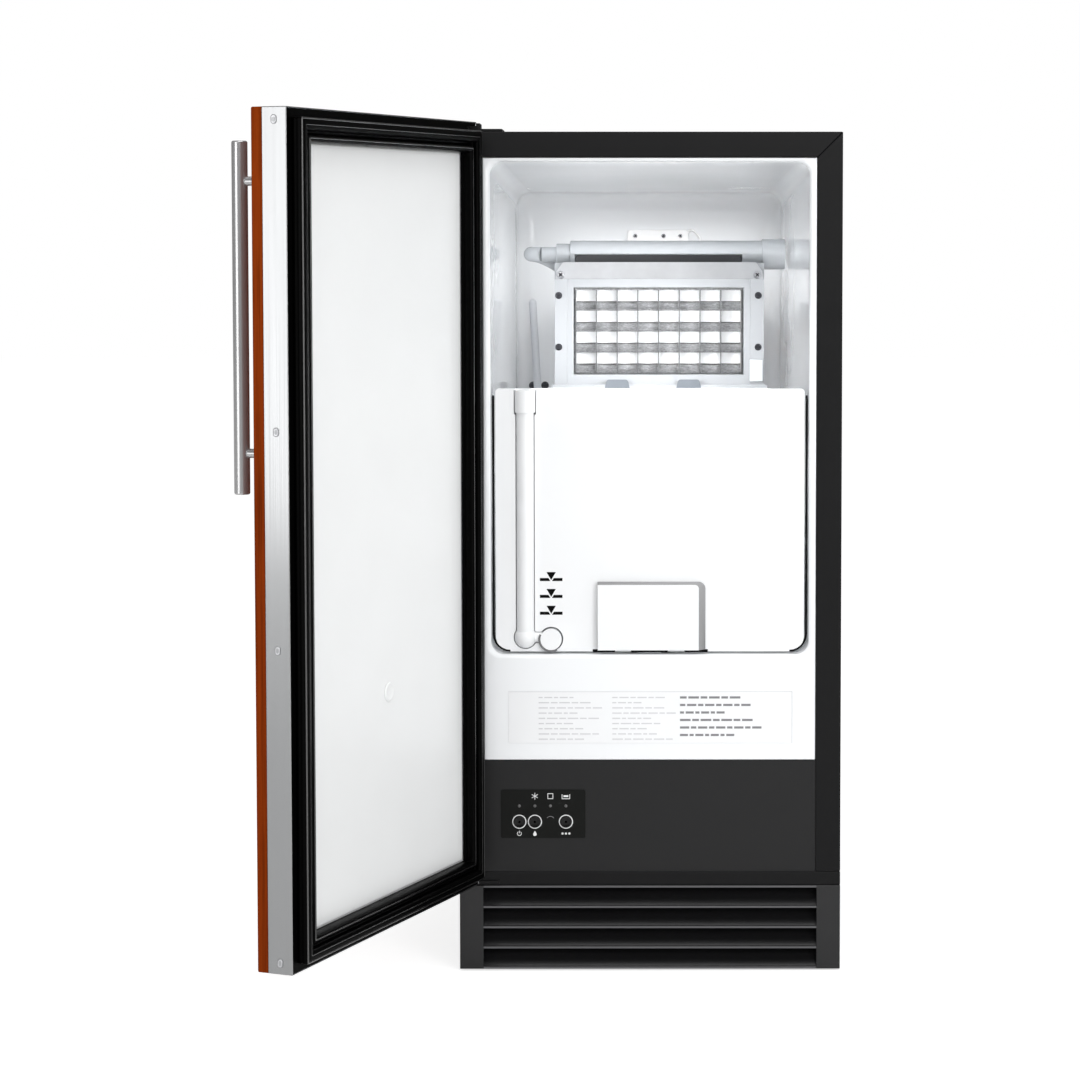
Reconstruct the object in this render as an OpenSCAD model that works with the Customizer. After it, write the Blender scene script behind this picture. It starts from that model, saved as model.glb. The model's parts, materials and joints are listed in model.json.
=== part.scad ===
// Undercounter ice maker, 15 inch class, with a framed wood door, standing open.
// Millimetres. +X right, +Y to the back, +Z up.
// The origin is on the floor, under the centre of the cabinet's footprint.

/* [Cabinet] */
// Width of the cabinet and of the door
cab_w = 378; // [360:1:420]
// Depth of the cabinet without its door
cab_d = 555; // [540:1:600]
// Height of the cabinet's top above the floor
cab_top = 832; // [825:1:845]
// Height of the cabinet's underside above the floor
cab_base = 14; // [12:1:18]
// Thickness of the sheet steel
sheet = 1.2; // [1:0.1:1.4]

/* [Front] */
// Width of the black trim around the opening
trim_w = 24.8; // [22:0.1:28]
// Depth of the trim bars
trim_d = 10; // [8:1:11]
// Top of the kick grille
grille_top = 86.5; // [80:0.5:88]
// Underside of the kick grille
grille_bottom = 2; // [1:0.5:4]
// Number of louvre blades in the kick grille
blade_count = 4; // [3:1:5]
// Top of the rail above the kick grille
rail_top = 100; // [98:1:104]
// Top of the control fascia
fascia_top = 211.8; // [205:0.1:220]

/* [Ice compartment] */
// Width of the opening
mouth_w = 314; // [300:1:318]
// Bottom of the opening
mouth_low = 316.8; // [314:0.1:320]
// Top of the opening
mouth_high = 802.5; // [798:0.1:804]
// Depth of the compartment behind the front plane
room_d = 480; // [470:1:490]
// Width of the compartment at its back wall
room_back_w = 300; // [290:1:304]
// Height of the ceiling at the back wall
room_back_high = 777.7; // [770:0.1:785]
// Thickness of the moulded liner
liner_t = 3; // [2.5:0.5:3.5]

/* [Bin] */
// Width of the bin front
bin_w = 305.4; // [296:0.1:308]
// Top of the bin front
bin_top = 579.2; // [570:0.1:585]
// Thickness of the bin front
bin_t = 15; // [15:0.5:16]
// Height of the slatted bin floor
floor_z = 402; // [398:1:406]

/* [Evaporator] */
// Columns of ice cells
cell_cols = 8; // [6:1:8]
// Rows of ice cells
cell_rows = 4; // [3:1:4]
// Pitch of the cells
cell = 22.6; // [21:0.1:22.6]
// Distance of the cells' mouths behind the front plane
grid_back = 311; // [305:1:315]
// Slope of the shelves between the rows
shelf_slope = 21; // [15:1:23]

/* [Door] */
// Angle that the door stands open
door_open = 112; // [100:1:115]
// Bottom edge of the door
door_low = 92; // [90:0.5:94]
// Top edge of the door
door_high = 840.4; // [838:0.1:844]
// Gap that the gasket fills when the door is shut
gasket_gap = 11.5; // [11:0.1:13]
// Thickness of the aluminium edge
edge_t = 24; // [22:0.5:26]
// Thickness of the wood panel
wood_t = 10.5; // [9:0.5:14]
// Length of the handle bar
handle_l = 309; // [250:1:340]
// Radius of the handle bar
handle_r = 7; // [6:0.5:8]
// Distance of the handle's centre line from the wood
handle_off = 34; // [30:1:40]

/* [Hidden] */
$fn = 48;

// Planes of the cabinet
half_w = cab_w / 2;
yf = -cab_d / 2;
yb = cab_d / 2;
inner_w = half_w - trim_w;
foam_low = 292;
gap = 0.4;

// Compartment
mouth_r = 13;
room_low_back = mouth_low + 3;
blend = 22;
flange_y = yf + 1.5;

// Bin front and what is set in it
bin_y = yf + 12;
bin_low = mouth_low + 1.7;
bin_r = 15;
tube_x = -123.5;
tube_r = 8.8;
tube_y = bin_y + 1.8;
tube_top = 556;
elbow_z = 332.6;
elbow_r = 11;
plug_r = 10.3;
tube_gap = 0.8;
socket_x = -98;
socket_z = 331;
socket_r = 10.5;
spigot_r = 5;
run_gap = 0.05;
cover_w = 104;
cover_top = 388;
cover_out = 9;
intake = [[-56.9, -34.5], [-18.8, 17.7], [34.1, 57.5]];
intake_top = bin_low + 2.2;
pump_y = yf + 78;
pump_low = 336;
pump_foot_low = mouth_low + 1.2;
shaft_r = 2;

// Evaporator and water distribution
grid_x0 = 10.4 - cell_cols * cell / 2;
grid_x1 = 10.4 + cell_cols * cell / 2;
grid_z0 = 580.4;
grid_z1 = grid_z0 + cell_rows * cell + 0.8;
grid_y = yf + grid_back;
grid_d = 22;
frame_x0 = -102.5;
frame_x1 = 124.9;
frame_z0 = 562;
frame_z1 = 700.7;
frame_y = grid_y - 7;
dist_y = yf + 346;
dist_z = 709.8;
dist_r = 15;
probe_x = -131;
probe_y = yf + 425;

// Controls
overlay = [-148, -64, 133.5, 182];
button_x = [-129.6, -114.2, -83.4];
lamp_x = [-129.6, -114.2, -98.8, -83.4];
button_z = 149.9;
button_r = 6;
lamp_z = 165.7;
fascia_y = yf + 1.5;

// Door, drawn shut and then swung open about its pins
pin_x = -182.4;
pin_y = yf - 24;
pin_r = 3;
bush_r = 4.5;
door_in = yf - gasket_gap;
edge_y = door_in - edge_t;
wood_y = edge_y - wood_t;
rail_t = 14;
lip_t = 1.5;
band = 30;
plate_t = 3;
liner_y = door_in - 3.3;
handle_x = half_w - 40;
handle_low = 504;
post_z = [540.4, 777.8];
post_r = 4;
bracket_t = 3;

// Machine compartment
fan_x = 10;
fan_z = 112;
fan_y = yf + 118;
fan_r = 76;
comp = [-78, 150, 36];
foot_x = 150;
foot_y = 225;
inlet = [118, 70];
gland = [-118, 62];
inlet_r = 13.2;
gland_r = 4.2;

module block(x, y, z) {
    translate([x[0], y[0], z[0]]) cube([x[1] - x[0], y[1] - y[0], z[1] - z[0]]);
}

// A cylinder from one point to another
module rod(from, to, r) {
    way = to - from;
    flat = norm([way[0], way[1]]);
    translate(from) rotate([0, atan2(flat, way[2]), atan2(way[1], way[0])])
        cylinder(r = r, h = norm(way));
}

// Round stock through a list of points, with a ball at each bend
module pipe(points, r) {
    for (i = [0 : len(points) - 2]) rod(points[i], points[i + 1], r);
    for (i = [1 : len(points) - 2]) translate(points[i]) sphere(r = r, $fn = 24);
}

function unit(v) = v / norm(v);

// Direction of a route at point i, and the side vector carried along to it
function heading(p, i) = unit(
    unit(p[min(i + 1, len(p) - 1)] - p[min(i, len(p) - 2)])
    + unit(p[max(i, 1)] - p[max(i - 1, 0)]));
function side_at(p, i) = let (
        t = heading(p, i),
        s = i == 0 ? cross(t, abs(t[2]) > 0.9 ? [1, 0, 0] : [0, 0, 1]) : side_at(p, i - 1)
    ) unit(s - t * (s * t));

// Hose or tube swept along a route of slanted stretches
module hose(points, r, sides = 12) {
    rings = [for (i = [0 : len(points) - 1]) let (
            t = heading(points, i), u = side_at(points, i), v = cross(t, u))
        for (k = [0 : sides - 1])
            points[i] + r * (cos(k * 360 / sides) * u + sin(k * 360 / sides) * v)];
    last = len(points) - 1;
    polyhedron(rings, concat(
        [[for (k = [0 : sides - 1]) k]],
        [[for (k = [sides - 1 : -1 : 0]) last * sides + k]],
        [for (i = [0 : last - 1], k = [0 : sides - 1]) let (n = (k + 1) % sides)
            [i * sides + k, (i + 1) * sides + k, (i + 1) * sides + n, i * sides + n]]
    ));
}

module rounded(x, z, r) {
    translate([x[0] + r, z[0]]) square([x[1] - x[0] - 2 * r, z[1] - z[0]]);
    translate([x[0], z[0] + r]) square([x[1] - x[0], z[1] - z[0] - 2 * r]);
    for (cx = [x[0] + r, x[1] - r], cz = [z[0] + r, z[1] - r])
        translate([cx, cz]) circle(r = r);
}

// A plate that stands across the depth, from its outline seen from the front
module standing(y) {
    translate([0, y[1], 0]) rotate([90, 0, 0]) linear_extrude(height = y[1] - y[0]) children();
}

// A profile in Y and Z, drawn out along X
module along_x(x) {
    translate([x[0], 0, 0]) rotate([90, 0, 90]) linear_extrude(height = x[1] - x[0]) children();
}

// A rectangular ring around a rectangle, seen from the front
module ring(x, z, wide, y) {
    difference() {
        block(x, y, z);
        block([x[0] + wide, x[1] - wide], [y[0] - 1, y[1] + 1], [z[0] + wide, z[1] - wide]);
    }
}

module on_door() {
    translate([pin_x, pin_y, 0]) rotate([0, 0, -door_open])
        translate([-pin_x, -pin_y, 0]) children();
}

// ---------- Cabinet shell ----------

module outer_case() color([0.13, 0.13, 0.14]) difference() {
    block([-half_w, half_w], [yf + trim_d + gap, yb - sheet], [cab_base, cab_top]);
    block([-half_w + sheet, half_w - sheet], [yf, yb], [cab_base - 1, cab_top - sheet]);
}

module back_panel() color([0.2, 0.2, 0.21]) difference() {
    block([-half_w, half_w], [yb - sheet, yb], [cab_base, cab_top]);
    translate([inlet[0], yb - 4, inlet[1]]) rotate([-90, 0, 0]) cylinder(r = 15, h = 8);
    translate([gland[0], yb - 4, gland[1]]) rotate([-90, 0, 0]) cylinder(r = 9, h = 8);
    for (x = [-74, 8], row = [0 : 11])
        block([x, x + 66], [yb - 4, yb + 4], [120 + row * 12, 125 + row * 12]);
}

module base_pan() color([0.45, 0.46, 0.47]) difference() {
    block([-half_w + 2, half_w - 2], [yf + 24, yb - 2], [cab_base, cab_base + 14]);
    block([-half_w + 4, half_w - 4], [yf + 26, yb - 4], [cab_base + 2, cab_base + 15]);
    for (sx = [-1, 1], sy = [-1, 1])
        translate([sx * foot_x, sy * foot_y, 0]) cylinder(r = 4.05, h = 30);
}

module trim_bar(corners) {
    translate([0, yf + trim_d, 0]) rotate([90, 0, 0])
        linear_extrude(height = trim_d) polygon(corners);
}

module trim_top() color([0.12, 0.12, 0.13]) trim_bar([
    [-half_w, cab_top], [half_w, cab_top], [inner_w, cab_top - trim_w],
    [-inner_w, cab_top - trim_w]
]);

module trim_side(side) color([0.12, 0.12, 0.13]) trim_bar([
    [side * half_w, rail_top], [side * inner_w, rail_top],
    [side * inner_w, cab_top - trim_w], [side * half_w, cab_top]
]);

module lower_rail() color([0.12, 0.12, 0.13])
    block([-half_w, half_w], [yf, yf + trim_d], [grille_top, rail_top]);

module kick_grille() color([0.16, 0.16, 0.17]) {
    slot_w = half_w - 23.5;
    pitch = (grille_top - grille_bottom - 3) / blade_count;
    for (side = [-1, 1])
        block([min(side * slot_w, side * half_w), max(side * slot_w, side * half_w)],
            [yf, yf + trim_d], [grille_bottom, grille_top - gap]);
    block([-slot_w, slot_w], [yf, yf + 20], [grille_top - 3, grille_top - gap]);
    for (i = [0 : blade_count - 1]) {
        z = grille_bottom + i * pitch;
        along_x([-slot_w - 1, slot_w + 1]) polygon([
            [yf, z], [yf, z + 2.4], [yf + 2, z + 2.8], [yf + 17, z + pitch - 3.4],
            [yf + 20, z + pitch - 3.4], [yf + 4, z]
        ]);
    }
}

module fascia() color([0.13, 0.13, 0.14]) difference() {
    block([-inner_w, inner_w], [fascia_y, fascia_y + sheet], [rail_top, fascia_top - gap]);
    for (x = button_x) translate([x, fascia_y - 1, button_z]) rotate([-90, 0, 0])
        cylinder(r = button_r + 0.5, h = 5);
    for (x = lamp_x) translate([x, fascia_y - 1, lamp_z]) rotate([-90, 0, 0])
        cylinder(r = 1.6, h = 5);
}

module control_overlay() color([0.08, 0.09, 0.08]) difference() {
    standing([fascia_y - 0.6, fascia_y])
        rounded([overlay[0], overlay[1]], [overlay[2], overlay[3]], 2);
    for (x = button_x) translate([x, fascia_y - 1, button_z]) rotate([-90, 0, 0])
        cylinder(r = button_r + 0.5, h = 5);
    for (x = lamp_x) translate([x, fascia_y - 1, lamp_z]) rotate([-90, 0, 0])
        cylinder(r = 1.6, h = 5);
}

// Circuit board behind the fascia, with its four lamps reaching into the overlay
module control_board() color([0.1, 0.35, 0.2]) {
    block([overlay[0] + 4, overlay[1] - 4], [yf + 14, yf + 15.6], [overlay[2] - 6, overlay[3] + 4]);
    for (x = lamp_x) rod([x, fascia_y - 0.4, lamp_z], [x, yf + 14, lamp_z], 1.5);
}

// A push button: a cap, and a stem that works the switch on the board
module push_button(x) color([0.1, 0.1, 0.1]) {
    rod([x, fascia_y - 1.8, button_z], [x, fascia_y + 4, button_z], button_r);
    rod([x, fascia_y + 3, button_z], [x, yf + 12.6, button_z], 2);
}

module rating_label() color([0.93, 0.93, 0.94])
    standing([flange_y - 0.4, flange_y]) rounded([-140.3, 140.9], [228.6, 280.1], 2);

// ---------- Ice compartment ----------

// The compartment's hollow, grown by a margin: it narrows to the back with a round blend
module room(grow) {
    steps = 4;
    module slice(y, half, low, high, r) {
        translate([0, y + 0.1, 0]) rotate([90, 0, 0]) linear_extrude(height = 0.1)
            rounded([-half - grow, half + grow], [low - grow, high + grow], r + grow, $fn = 32);
    }
    hull() {
        slice(yf - 1, mouth_w / 2, mouth_low, mouth_high, mouth_r);
        for (i = [0 : steps]) {
            turn = i * 90 / steps;
            inset = blend * (1 - cos(turn));
            slice(yf + room_d - blend + blend * sin(turn) + grow,
                room_back_w / 2 - inset, room_low_back + inset, room_back_high - inset,
                mouth_r + 3);
        }
    }
}

// Liner, with the flange around its mouth and the apron under it
module liner() color([0.95, 0.96, 0.97]) difference() {
    union() {
        intersection() {
            room(liner_t);
            block([-half_w, half_w], [flange_y, yb], [0, cab_top]);
        }
        block([-inner_w + gap, inner_w - gap], [flange_y, flange_y + 3],
            [fascia_top, cab_top - trim_w - gap]);
    }
    room(0);
}

module insulation() color([0.93, 0.88, 0.7]) difference() {
    block([-half_w + sheet + gap, half_w - sheet - gap], [yf + trim_d + 2, yb - sheet - gap],
        [foam_low, cab_top - sheet - gap]);
    room(liner_t + 0.2);
}

// ---------- Bin and sump ----------

module bin_front() color([0.97, 0.98, 0.98]) difference() {
    union() {
        standing([bin_y, bin_y + bin_t])
            rounded([-bin_w / 2, bin_w / 2], [bin_low, bin_top - 20], bin_r);
        standing([bin_y, bin_y + bin_t])
            rounded([-bin_w / 2, bin_w / 2], [bin_top - 60, bin_top], 3);
    }
    // Half-round trough of the drain tube, its elbow and plug, and the round pocket of its socket
    rod([tube_x, tube_y, elbow_z], [tube_x, tube_y, bin_top + 1], tube_r + tube_gap);
    rod([tube_x, tube_y, tube_top - 2], [tube_x, tube_y, bin_top + 1], plug_r + tube_gap);
    translate([tube_x, tube_y, elbow_z]) sphere(r = elbow_r + tube_gap);
    rod([tube_x, tube_y, elbow_z], [socket_x, tube_y, elbow_z], spigot_r + tube_gap);
    rod([socket_x, bin_y - 1, socket_z], [socket_x, bin_y + 13.2, socket_z], socket_r + 1.5);
    for (slot = intake) block(slot, [bin_y - 1, bin_y + bin_t + 1], [bin_low - 1, intake_top]);
}

// Raised cover over the pump, above the intake slots in the foot of the bin front
module pump_cover() color([0.97, 0.98, 0.98]) {
    along = cover_w / 2;
    translate([0, 0, intake_top]) linear_extrude(height = cover_top - intake_top) polygon([
        [-along, bin_y], [-along, bin_y - cover_out + 2], [-along + 3, bin_y - cover_out],
        [along - 4, bin_y - cover_out], [along + 3, bin_y]
    ]);
}

// Round boss that the drain tube's elbow turns in
module drain_socket() color([0.9, 0.91, 0.92]) difference() {
    rod([socket_x, tube_y - 6.8, socket_z], [socket_x, bin_y + 13.2, socket_z], socket_r);
    rod([socket_x - 12, tube_y, elbow_z], [socket_x + 5, tube_y, elbow_z], spigot_r + run_gap);
}

// Drain tube: elbow and spigot at the foot, and the plug in its top end
module drain_tube() color([0.96, 0.96, 0.97]) {
    difference() {
        union() {
            translate([tube_x, tube_y, elbow_z]) sphere(r = elbow_r);
            rod([tube_x, tube_y, elbow_z], [tube_x, tube_y, tube_top + 2], tube_r);
            rod([tube_x, tube_y, elbow_z], [socket_x + 4, tube_y, elbow_z], spigot_r);
        }
        rod([tube_x, tube_y, elbow_z], [tube_x, tube_y, tube_top + 3], tube_r - 2);
    }
    rod([tube_x, tube_y, tube_top], [tube_x, tube_y, bin_top - 1], plug_r);
    rod([tube_x, tube_y, tube_top - 20], [tube_x, tube_y, tube_top], tube_r - 2);
}

module bin_floor() color([0.94, 0.95, 0.96]) difference() {
    block([-146, 146], [bin_y + bin_t + 1, yf + 352], [floor_z, floor_z + 3]);
    for (i = [-6 : 6])
        block([i * 22 - 5, i * 22 + 5], [yf + 46, yf + 334], [floor_z - 1, floor_z + 4]);
}

module water_pump() color([0.2, 0.2, 0.22]) difference() {
    union() {
        translate([0, pump_y, pump_low]) cylinder(r = 30, h = 22);
        translate([0, pump_y, pump_low + 20]) cylinder(r = 24, h = 42);
        rod([0, pump_y, pump_low + 11], [-58, pump_y, pump_low + 11], 8);
        for (a = [45 : 90 : 315]) pump_foot(a);
    }
    translate([0, pump_y, pump_low + 3]) cylinder(r = 26, h = 16);
    translate([0, pump_y, pump_low - 1]) cylinder(r = 9, h = 5);
    translate([0, pump_y, pump_low + 18]) cylinder(r = shaft_r + run_gap, h = 12);
    rod([-24, pump_y, pump_low + 11], [-59, pump_y, pump_low + 11], 6);
}

module pump_foot(a) {
    translate([0, pump_y, pump_foot_low]) rotate([0, 0, a]) translate([23, 0, 0])
        cylinder(r = 4, h = pump_low - pump_foot_low + 2);
}

module pump_impeller() color([0.85, 0.85, 0.87]) {
    translate([0, pump_y, pump_low + 5]) cylinder(r = 8, h = 11);
    translate([0, pump_y, pump_low + 13]) cylinder(r = 22, h = 2);
    translate([0, pump_y, pump_low + 14]) cylinder(r = shaft_r, h = 15);
    for (a = [0 : 60 : 300]) translate([0, pump_y, pump_low + 6]) rotate([0, 0, a])
        translate([6, -1, 0]) cube([16, 2, 8]);
}

// Hose from the pump up the back corner to the distribution tube
module riser_hose() color([0.88, 0.89, 0.9]) hose([
    [-58, pump_y, pump_low + 11], [-72, pump_y + 16, 346], [-80, pump_y + 60, 346],
    [-80, yf + 344, 346], [-80, yf + 364, 354], [-80, yf + 372, 376], [-80, yf + 372, 660],
    [-85, yf + 373, 680], [-100, yf + 373, 697], [-118, yf + 369, 707],
    [-129, yf + 360, dist_z], [-128, dist_y + 4, dist_z], [-118, dist_y, dist_z]
], 8);

// ---------- Evaporator and water distribution ----------

module evaporator_grid() color([0.72, 0.73, 0.74]) {
    row = (grid_z1 - grid_z0) / cell_rows;
    for (i = [0 : cell_cols])
        block([grid_x0 + i * cell - 0.6, grid_x0 + i * cell + 0.6], [grid_y, grid_y + grid_d + 1],
            [grid_z0, grid_z1]);
    for (i = [0 : cell_rows]) {
        z = grid_z0 + i * row;
        drop = i == cell_rows ? 0 : grid_d * tan(shelf_slope);
        along_x([grid_x0 - 0.6, grid_x1 + 0.6]) polygon([
            [grid_y, z], [grid_y + grid_d + 1, z + drop],
            [grid_y + grid_d + 1, z + drop + 1.2], [grid_y, z + 1.2]
        ]);
    }
    block([grid_x0 - 3, grid_x1 + 3], [grid_y + grid_d, grid_y + grid_d + 2],
        [grid_z0 - 2, grid_z1 + 2]);
}

// Moulded frame around the cells, held off the back wall by an arm at each side
module evaporator_frame() color([0.94, 0.95, 0.96]) difference() {
    union() {
        block([frame_x0, frame_x1], [frame_y, frame_y + 26], [frame_z0, frame_z1]);
        for (x = [frame_x0 + 2, frame_x1 - 12])
            block([x, x + 10], [frame_y + 20, yf + room_d - 0.2], [640, 654]);
    }
    block([frame_x0 + 13.6, frame_x1 - 14.8], [frame_y - 1, frame_y + 3],
        [frame_z0 + 6, frame_z1 - 17]);
    block([grid_x0 - 2, grid_x1 + 2], [frame_y - 1, frame_y + 27],
        [grid_z0 - 1, grid_z1 + 2.6]);
    block([frame_x0 + 20, frame_x1 - 20], [frame_y + 14, frame_y + 27],
        [grid_z0 - 8, grid_z1 + 10]);
    for (p = evaporator_holes()) rod([p[0], frame_y - 1, p[1]], [p[0], frame_y + 12, p[1]], 2);
}

function evaporator_holes() = [
    [-95.9, 688], [117.5, 688], [-98.2, 665.5], [118.6, 665.5], [-98.2, 609.4], [118.6, 609.4]
];

// Bright lip that spreads the water over the cells
module evaporator_top_bar() color([0.86, 0.87, 0.88]) difference() {
    standing([frame_y - 3, frame_y]) polygon([
        [frame_x0 + 1, 683.6], [frame_x1 - 1, 683.6], [frame_x1 - 2, 692],
        [frame_x1 - 9, frame_z1 + 1], [frame_x0 + 9, frame_z1 + 1], [frame_x0 + 2, 692]
    ]);
    for (i = [0, 1]) {
        p = evaporator_holes()[i];
        rod([p[0], frame_y - 4, p[1]], [p[0], frame_y + 1, p[1]], 2);
    }
}

// Six screws in the evaporator frame, and two in the back wall beside the probe
module evaporator_screws() color([0.35, 0.35, 0.36]) {
    holes = evaporator_holes();
    for (i = [0 : len(holes) - 1]) {
        y = i < 2 ? frame_y - 3 : frame_y;
        rod([holes[i][0], y - 1.6, holes[i][1]], [holes[i][0], y, holes[i][1]], 3.3);
        rod([holes[i][0], y, holes[i][1]], [holes[i][0], frame_y + 10, holes[i][1]], 1.9);
    }
    // The left one sits where the back wall starts to turn into the side wall
    for (p = [[-133, 2.2], [-119, 0.2]])
        rod([p[0], yf + room_d - 2.2 - p[1], 558.6], [p[0], yf + room_d - p[1], 558.6], 4);
}

// Copper serpentine on the back of the cells, with its two ends at the back wall
module evaporator_coil() color([0.72, 0.45, 0.3]) {
    y = grid_y + grid_d + 2 + 4;
    left = grid_x0 + 10;
    right = grid_x1 - 10;
    rows = [592, 614, 637, 660];
    pipe([
        [right, yf + room_d - 1, rows[0]], [right, y, rows[0]], [left, y, rows[0]],
        [left, y, rows[1]], [right, y, rows[1]], [right, y, rows[2]], [left, y, rows[2]],
        [left, y, rows[3]], [right, y, rows[3]], [right, yf + room_d - 1, rows[3]]
    ], 4);
}

// Gutter that carries the water back down to the sump
module water_trough() color([0.95, 0.96, 0.97]) difference() {
    block([frame_x0 - 3, frame_x1 + 3], [frame_y - 12, frame_y + 44], [536, 568.9]);
    block([frame_x0 - 1, frame_x1 + 1], [frame_y - 10, frame_y + 42], [538, 570]);
    block([frame_x0 - 4, frame_x1 + 4], [frame_y - 2, frame_y + 45], [561.6, 570]);
    for (x = [-34, 43]) standing([frame_y - 13, frame_y - 9])
        polygon([[x - 14, 560], [x + 14, 560], [x + 10, 570], [x - 10, 570]]);
    translate([-80, frame_y + 20, 530]) cylinder(r = 8, h = 10);
}

module distribution_tube() color([0.88, 0.9, 0.91]) difference() {
    rod([-86.4, dist_y, dist_z], [143, dist_y, dist_z], dist_r);
    rod([-88, dist_y, dist_z], [145, dist_y, dist_z], dist_r - 2);
    block([-81.3, 102.1], [dist_y - dist_r - 1, dist_y - 4], [dist_z - 9, dist_z]);
}

// Cap on the tube's right end, and the collar and reducer on its left end
module tube_fittings() color([0.9, 0.91, 0.92]) {
    difference() {
        rod([124, dist_y, dist_z], [149.5, dist_y, dist_z], dist_r + 1.6);
        rod([123, dist_y, dist_z], [143, dist_y, dist_z], dist_r);
    }
    difference() {
        union() {
            rod([-101.8, dist_y, dist_z], [-86.4, dist_y, dist_z], 11.7);
            rod([-118, dist_y, dist_z], [-101.8, dist_y, dist_z], 8);
        }
        rod([-119, dist_y, dist_z], [-86, dist_y, dist_z], 5.5);
    }
}

module sensor_bracket() color([0.98, 0.98, 0.98])
    standing([yf + room_d - 5, yf + room_d - 0.3]) rounded([-24.4, 45.3], [708, 737], 3);

// Tube on the back wall that feels the height of the ice
module ice_level_probe() color([0.93, 0.94, 0.95]) {
    r = 4.3;
    translate([probe_x + 6, probe_y, 548]) rotate([0, -3.2, 0]) rotate_extrude() polygon(concat(
        [[0, 0], [r, 0]], [for (a = [0 : 15 : 90]) [r * cos(a), 107 + r * sin(a)]]));
    block([probe_x - 1, probe_x + 13], [probe_y, yf + room_d - 3], [546, 554]);
}

module thermistor_clip() color([0.9, 0.92, 0.93])
    block([109, 123.5], [frame_y - 7, frame_y], [572, 596]);

// ---------- Machine compartment ----------

module compressor() color([0.1, 0.1, 0.11]) {
    translate(comp) rotate_extrude($fn = 64) polygon([
        [0, 0], [52, 0], [62, 12], [64, 24], [64, 100], [66, 102], [66, 108], [63, 110],
        [60, 132], [46, 150], [20, 158], [0, 159]
    ]);
    for (a = [45 : 90 : 315]) translate(comp) rotate([0, 0, a])
        block([50, 92], [-12, 12], [-6, -2]);
    translate(comp) block([-66, 66], [-14, 14], [-6, 2]);
    translate(comp) block([58, 84], [-24, 24], [40, 92]);
}

module compressor_mounts() color([0.12, 0.12, 0.12])
    for (a = [45 : 90 : 315]) translate([comp[0], comp[1], cab_base + 2]) rotate([0, 0, a])
        translate([82, 0, 0]) cylinder(r = 9, h = comp[2] - 6 - cab_base - 2);

module condenser() color([0.6, 0.61, 0.62]) {
    fins = 26;
    low = cab_base + 4;
    for (i = [0 : fins]) {
        x = -140 + i * 280 / fins;
        t = i == 0 || i == fins ? 2 : 0.6;
        block([x - t / 2, x + t / 2], [yf + 34, yf + 74], [low, 192]);
    }
    for (row = [0 : 5], side = [0, 1])
        rod([-146, yf + 44 + side * 20, 32 + row * 29], [146, yf + 44 + side * 20, 32 + row * 29], 4);
}

module fan_shroud() color([0.15, 0.15, 0.16]) difference() {
    block([-142, 142], [yf + 76, yf + 104], [cab_base + 3, 196]);
    block([-139, 139], [yf + 75, yf + 101], [cab_base + 6, 193]);
    rod([fan_x, yf + 99, fan_z], [fan_x, yf + 106, fan_z], fan_r + 4);
}

module fan_motor() color([0.25, 0.25, 0.27]) difference() {
    union() {
        rod([fan_x, fan_y + 14, fan_z], [fan_x, fan_y + 56, fan_z], 30);
        for (a = [60, 180, 300]) translate([fan_x, 0, fan_z]) rotate([0, a, 0])
            block([-3, 3], [fan_y + 24, fan_y + 28], [20, fan_r + 14]);
        for (a = [60, 180, 300]) translate([fan_x, 0, fan_z]) rotate([0, a, 0])
            block([-3, 3], [yf + 104, fan_y + 28], [fan_r + 10, fan_r + 14]);
    }
    rod([fan_x, fan_y, fan_z], [fan_x, fan_y + 30, fan_z], 3 + run_gap);
}

module fan_blade() color([0.5, 0.5, 0.52]) {
    rod([fan_x, fan_y - 10, fan_z], [fan_x, fan_y + 10, fan_z], 18);
    rod([fan_x, fan_y + 8, fan_z], [fan_x, fan_y + 29, fan_z], 3);
    for (a = [0 : 72 : 288]) translate([fan_x, fan_y, fan_z]) rotate([0, a, 0])
        rotate([0, 0, 24]) intersection() {
            block([-22, 22], [-1, 1], [14, fan_r]);
            translate([0, 2, 42]) rotate([90, 0, 0]) cylinder(r = 34, h = 4);
        }
}

module filter_drier() color([0.7, 0.43, 0.28]) {
    rod([60, 120, 240], [60, 210, 240], 11);
    rod([60, 108, 240], [60, 222, 240], 4);
}

module refrigerant_lines() color([0.72, 0.45, 0.3]) {
    hose([[146, yf + 44, 177], [152, yf + 60, 200], [152, 60, 214], [100, 104, 240],
        [60, 107.5, 240]], 3, 8);
    hose([[60, 222.5, 240], [60, 236, 250], [40, 240, 262], [20, 240, 291.6]], 3, 8);
    hose([[comp[0] + 20, comp[1] + 20, comp[2] + 156], [comp[0] + 24, comp[1] + 24, 226],
        [0, 200, 262], [0, 214, 291.6]], 4, 8);
    hose([[comp[0] - 24, comp[1] - 20, comp[2] + 154], [-120, 60, 216], [-152, 0, 210],
        [-152, yf + 60, 190], [-146, yf + 44, 177]], 3, 8);
}

module water_inlet_valve() color([0.9, 0.9, 0.86]) {
    rod([inlet[0], yb - 40, inlet[1]], [inlet[0], yb + 14, inlet[1]], inlet_r);
    block([inlet[0] - 18, inlet[0] + 18], [yb - 66, yb - 36], [inlet[1] - 18, inlet[1] + 18]);
    rod([inlet[0], yb - 52, inlet[1] + 15], [inlet[0], yb - 52, inlet[1] + 50], 12.5);
    rod([inlet[0] - 16, yb - 52, inlet[1]], [inlet[0] - 41, yb - 52, inlet[1]], 6);
    rod([inlet[0] - 34, yb - 52, inlet[1]], [inlet[0] - 34, yb - 52, 291.6], 4);
}

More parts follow.
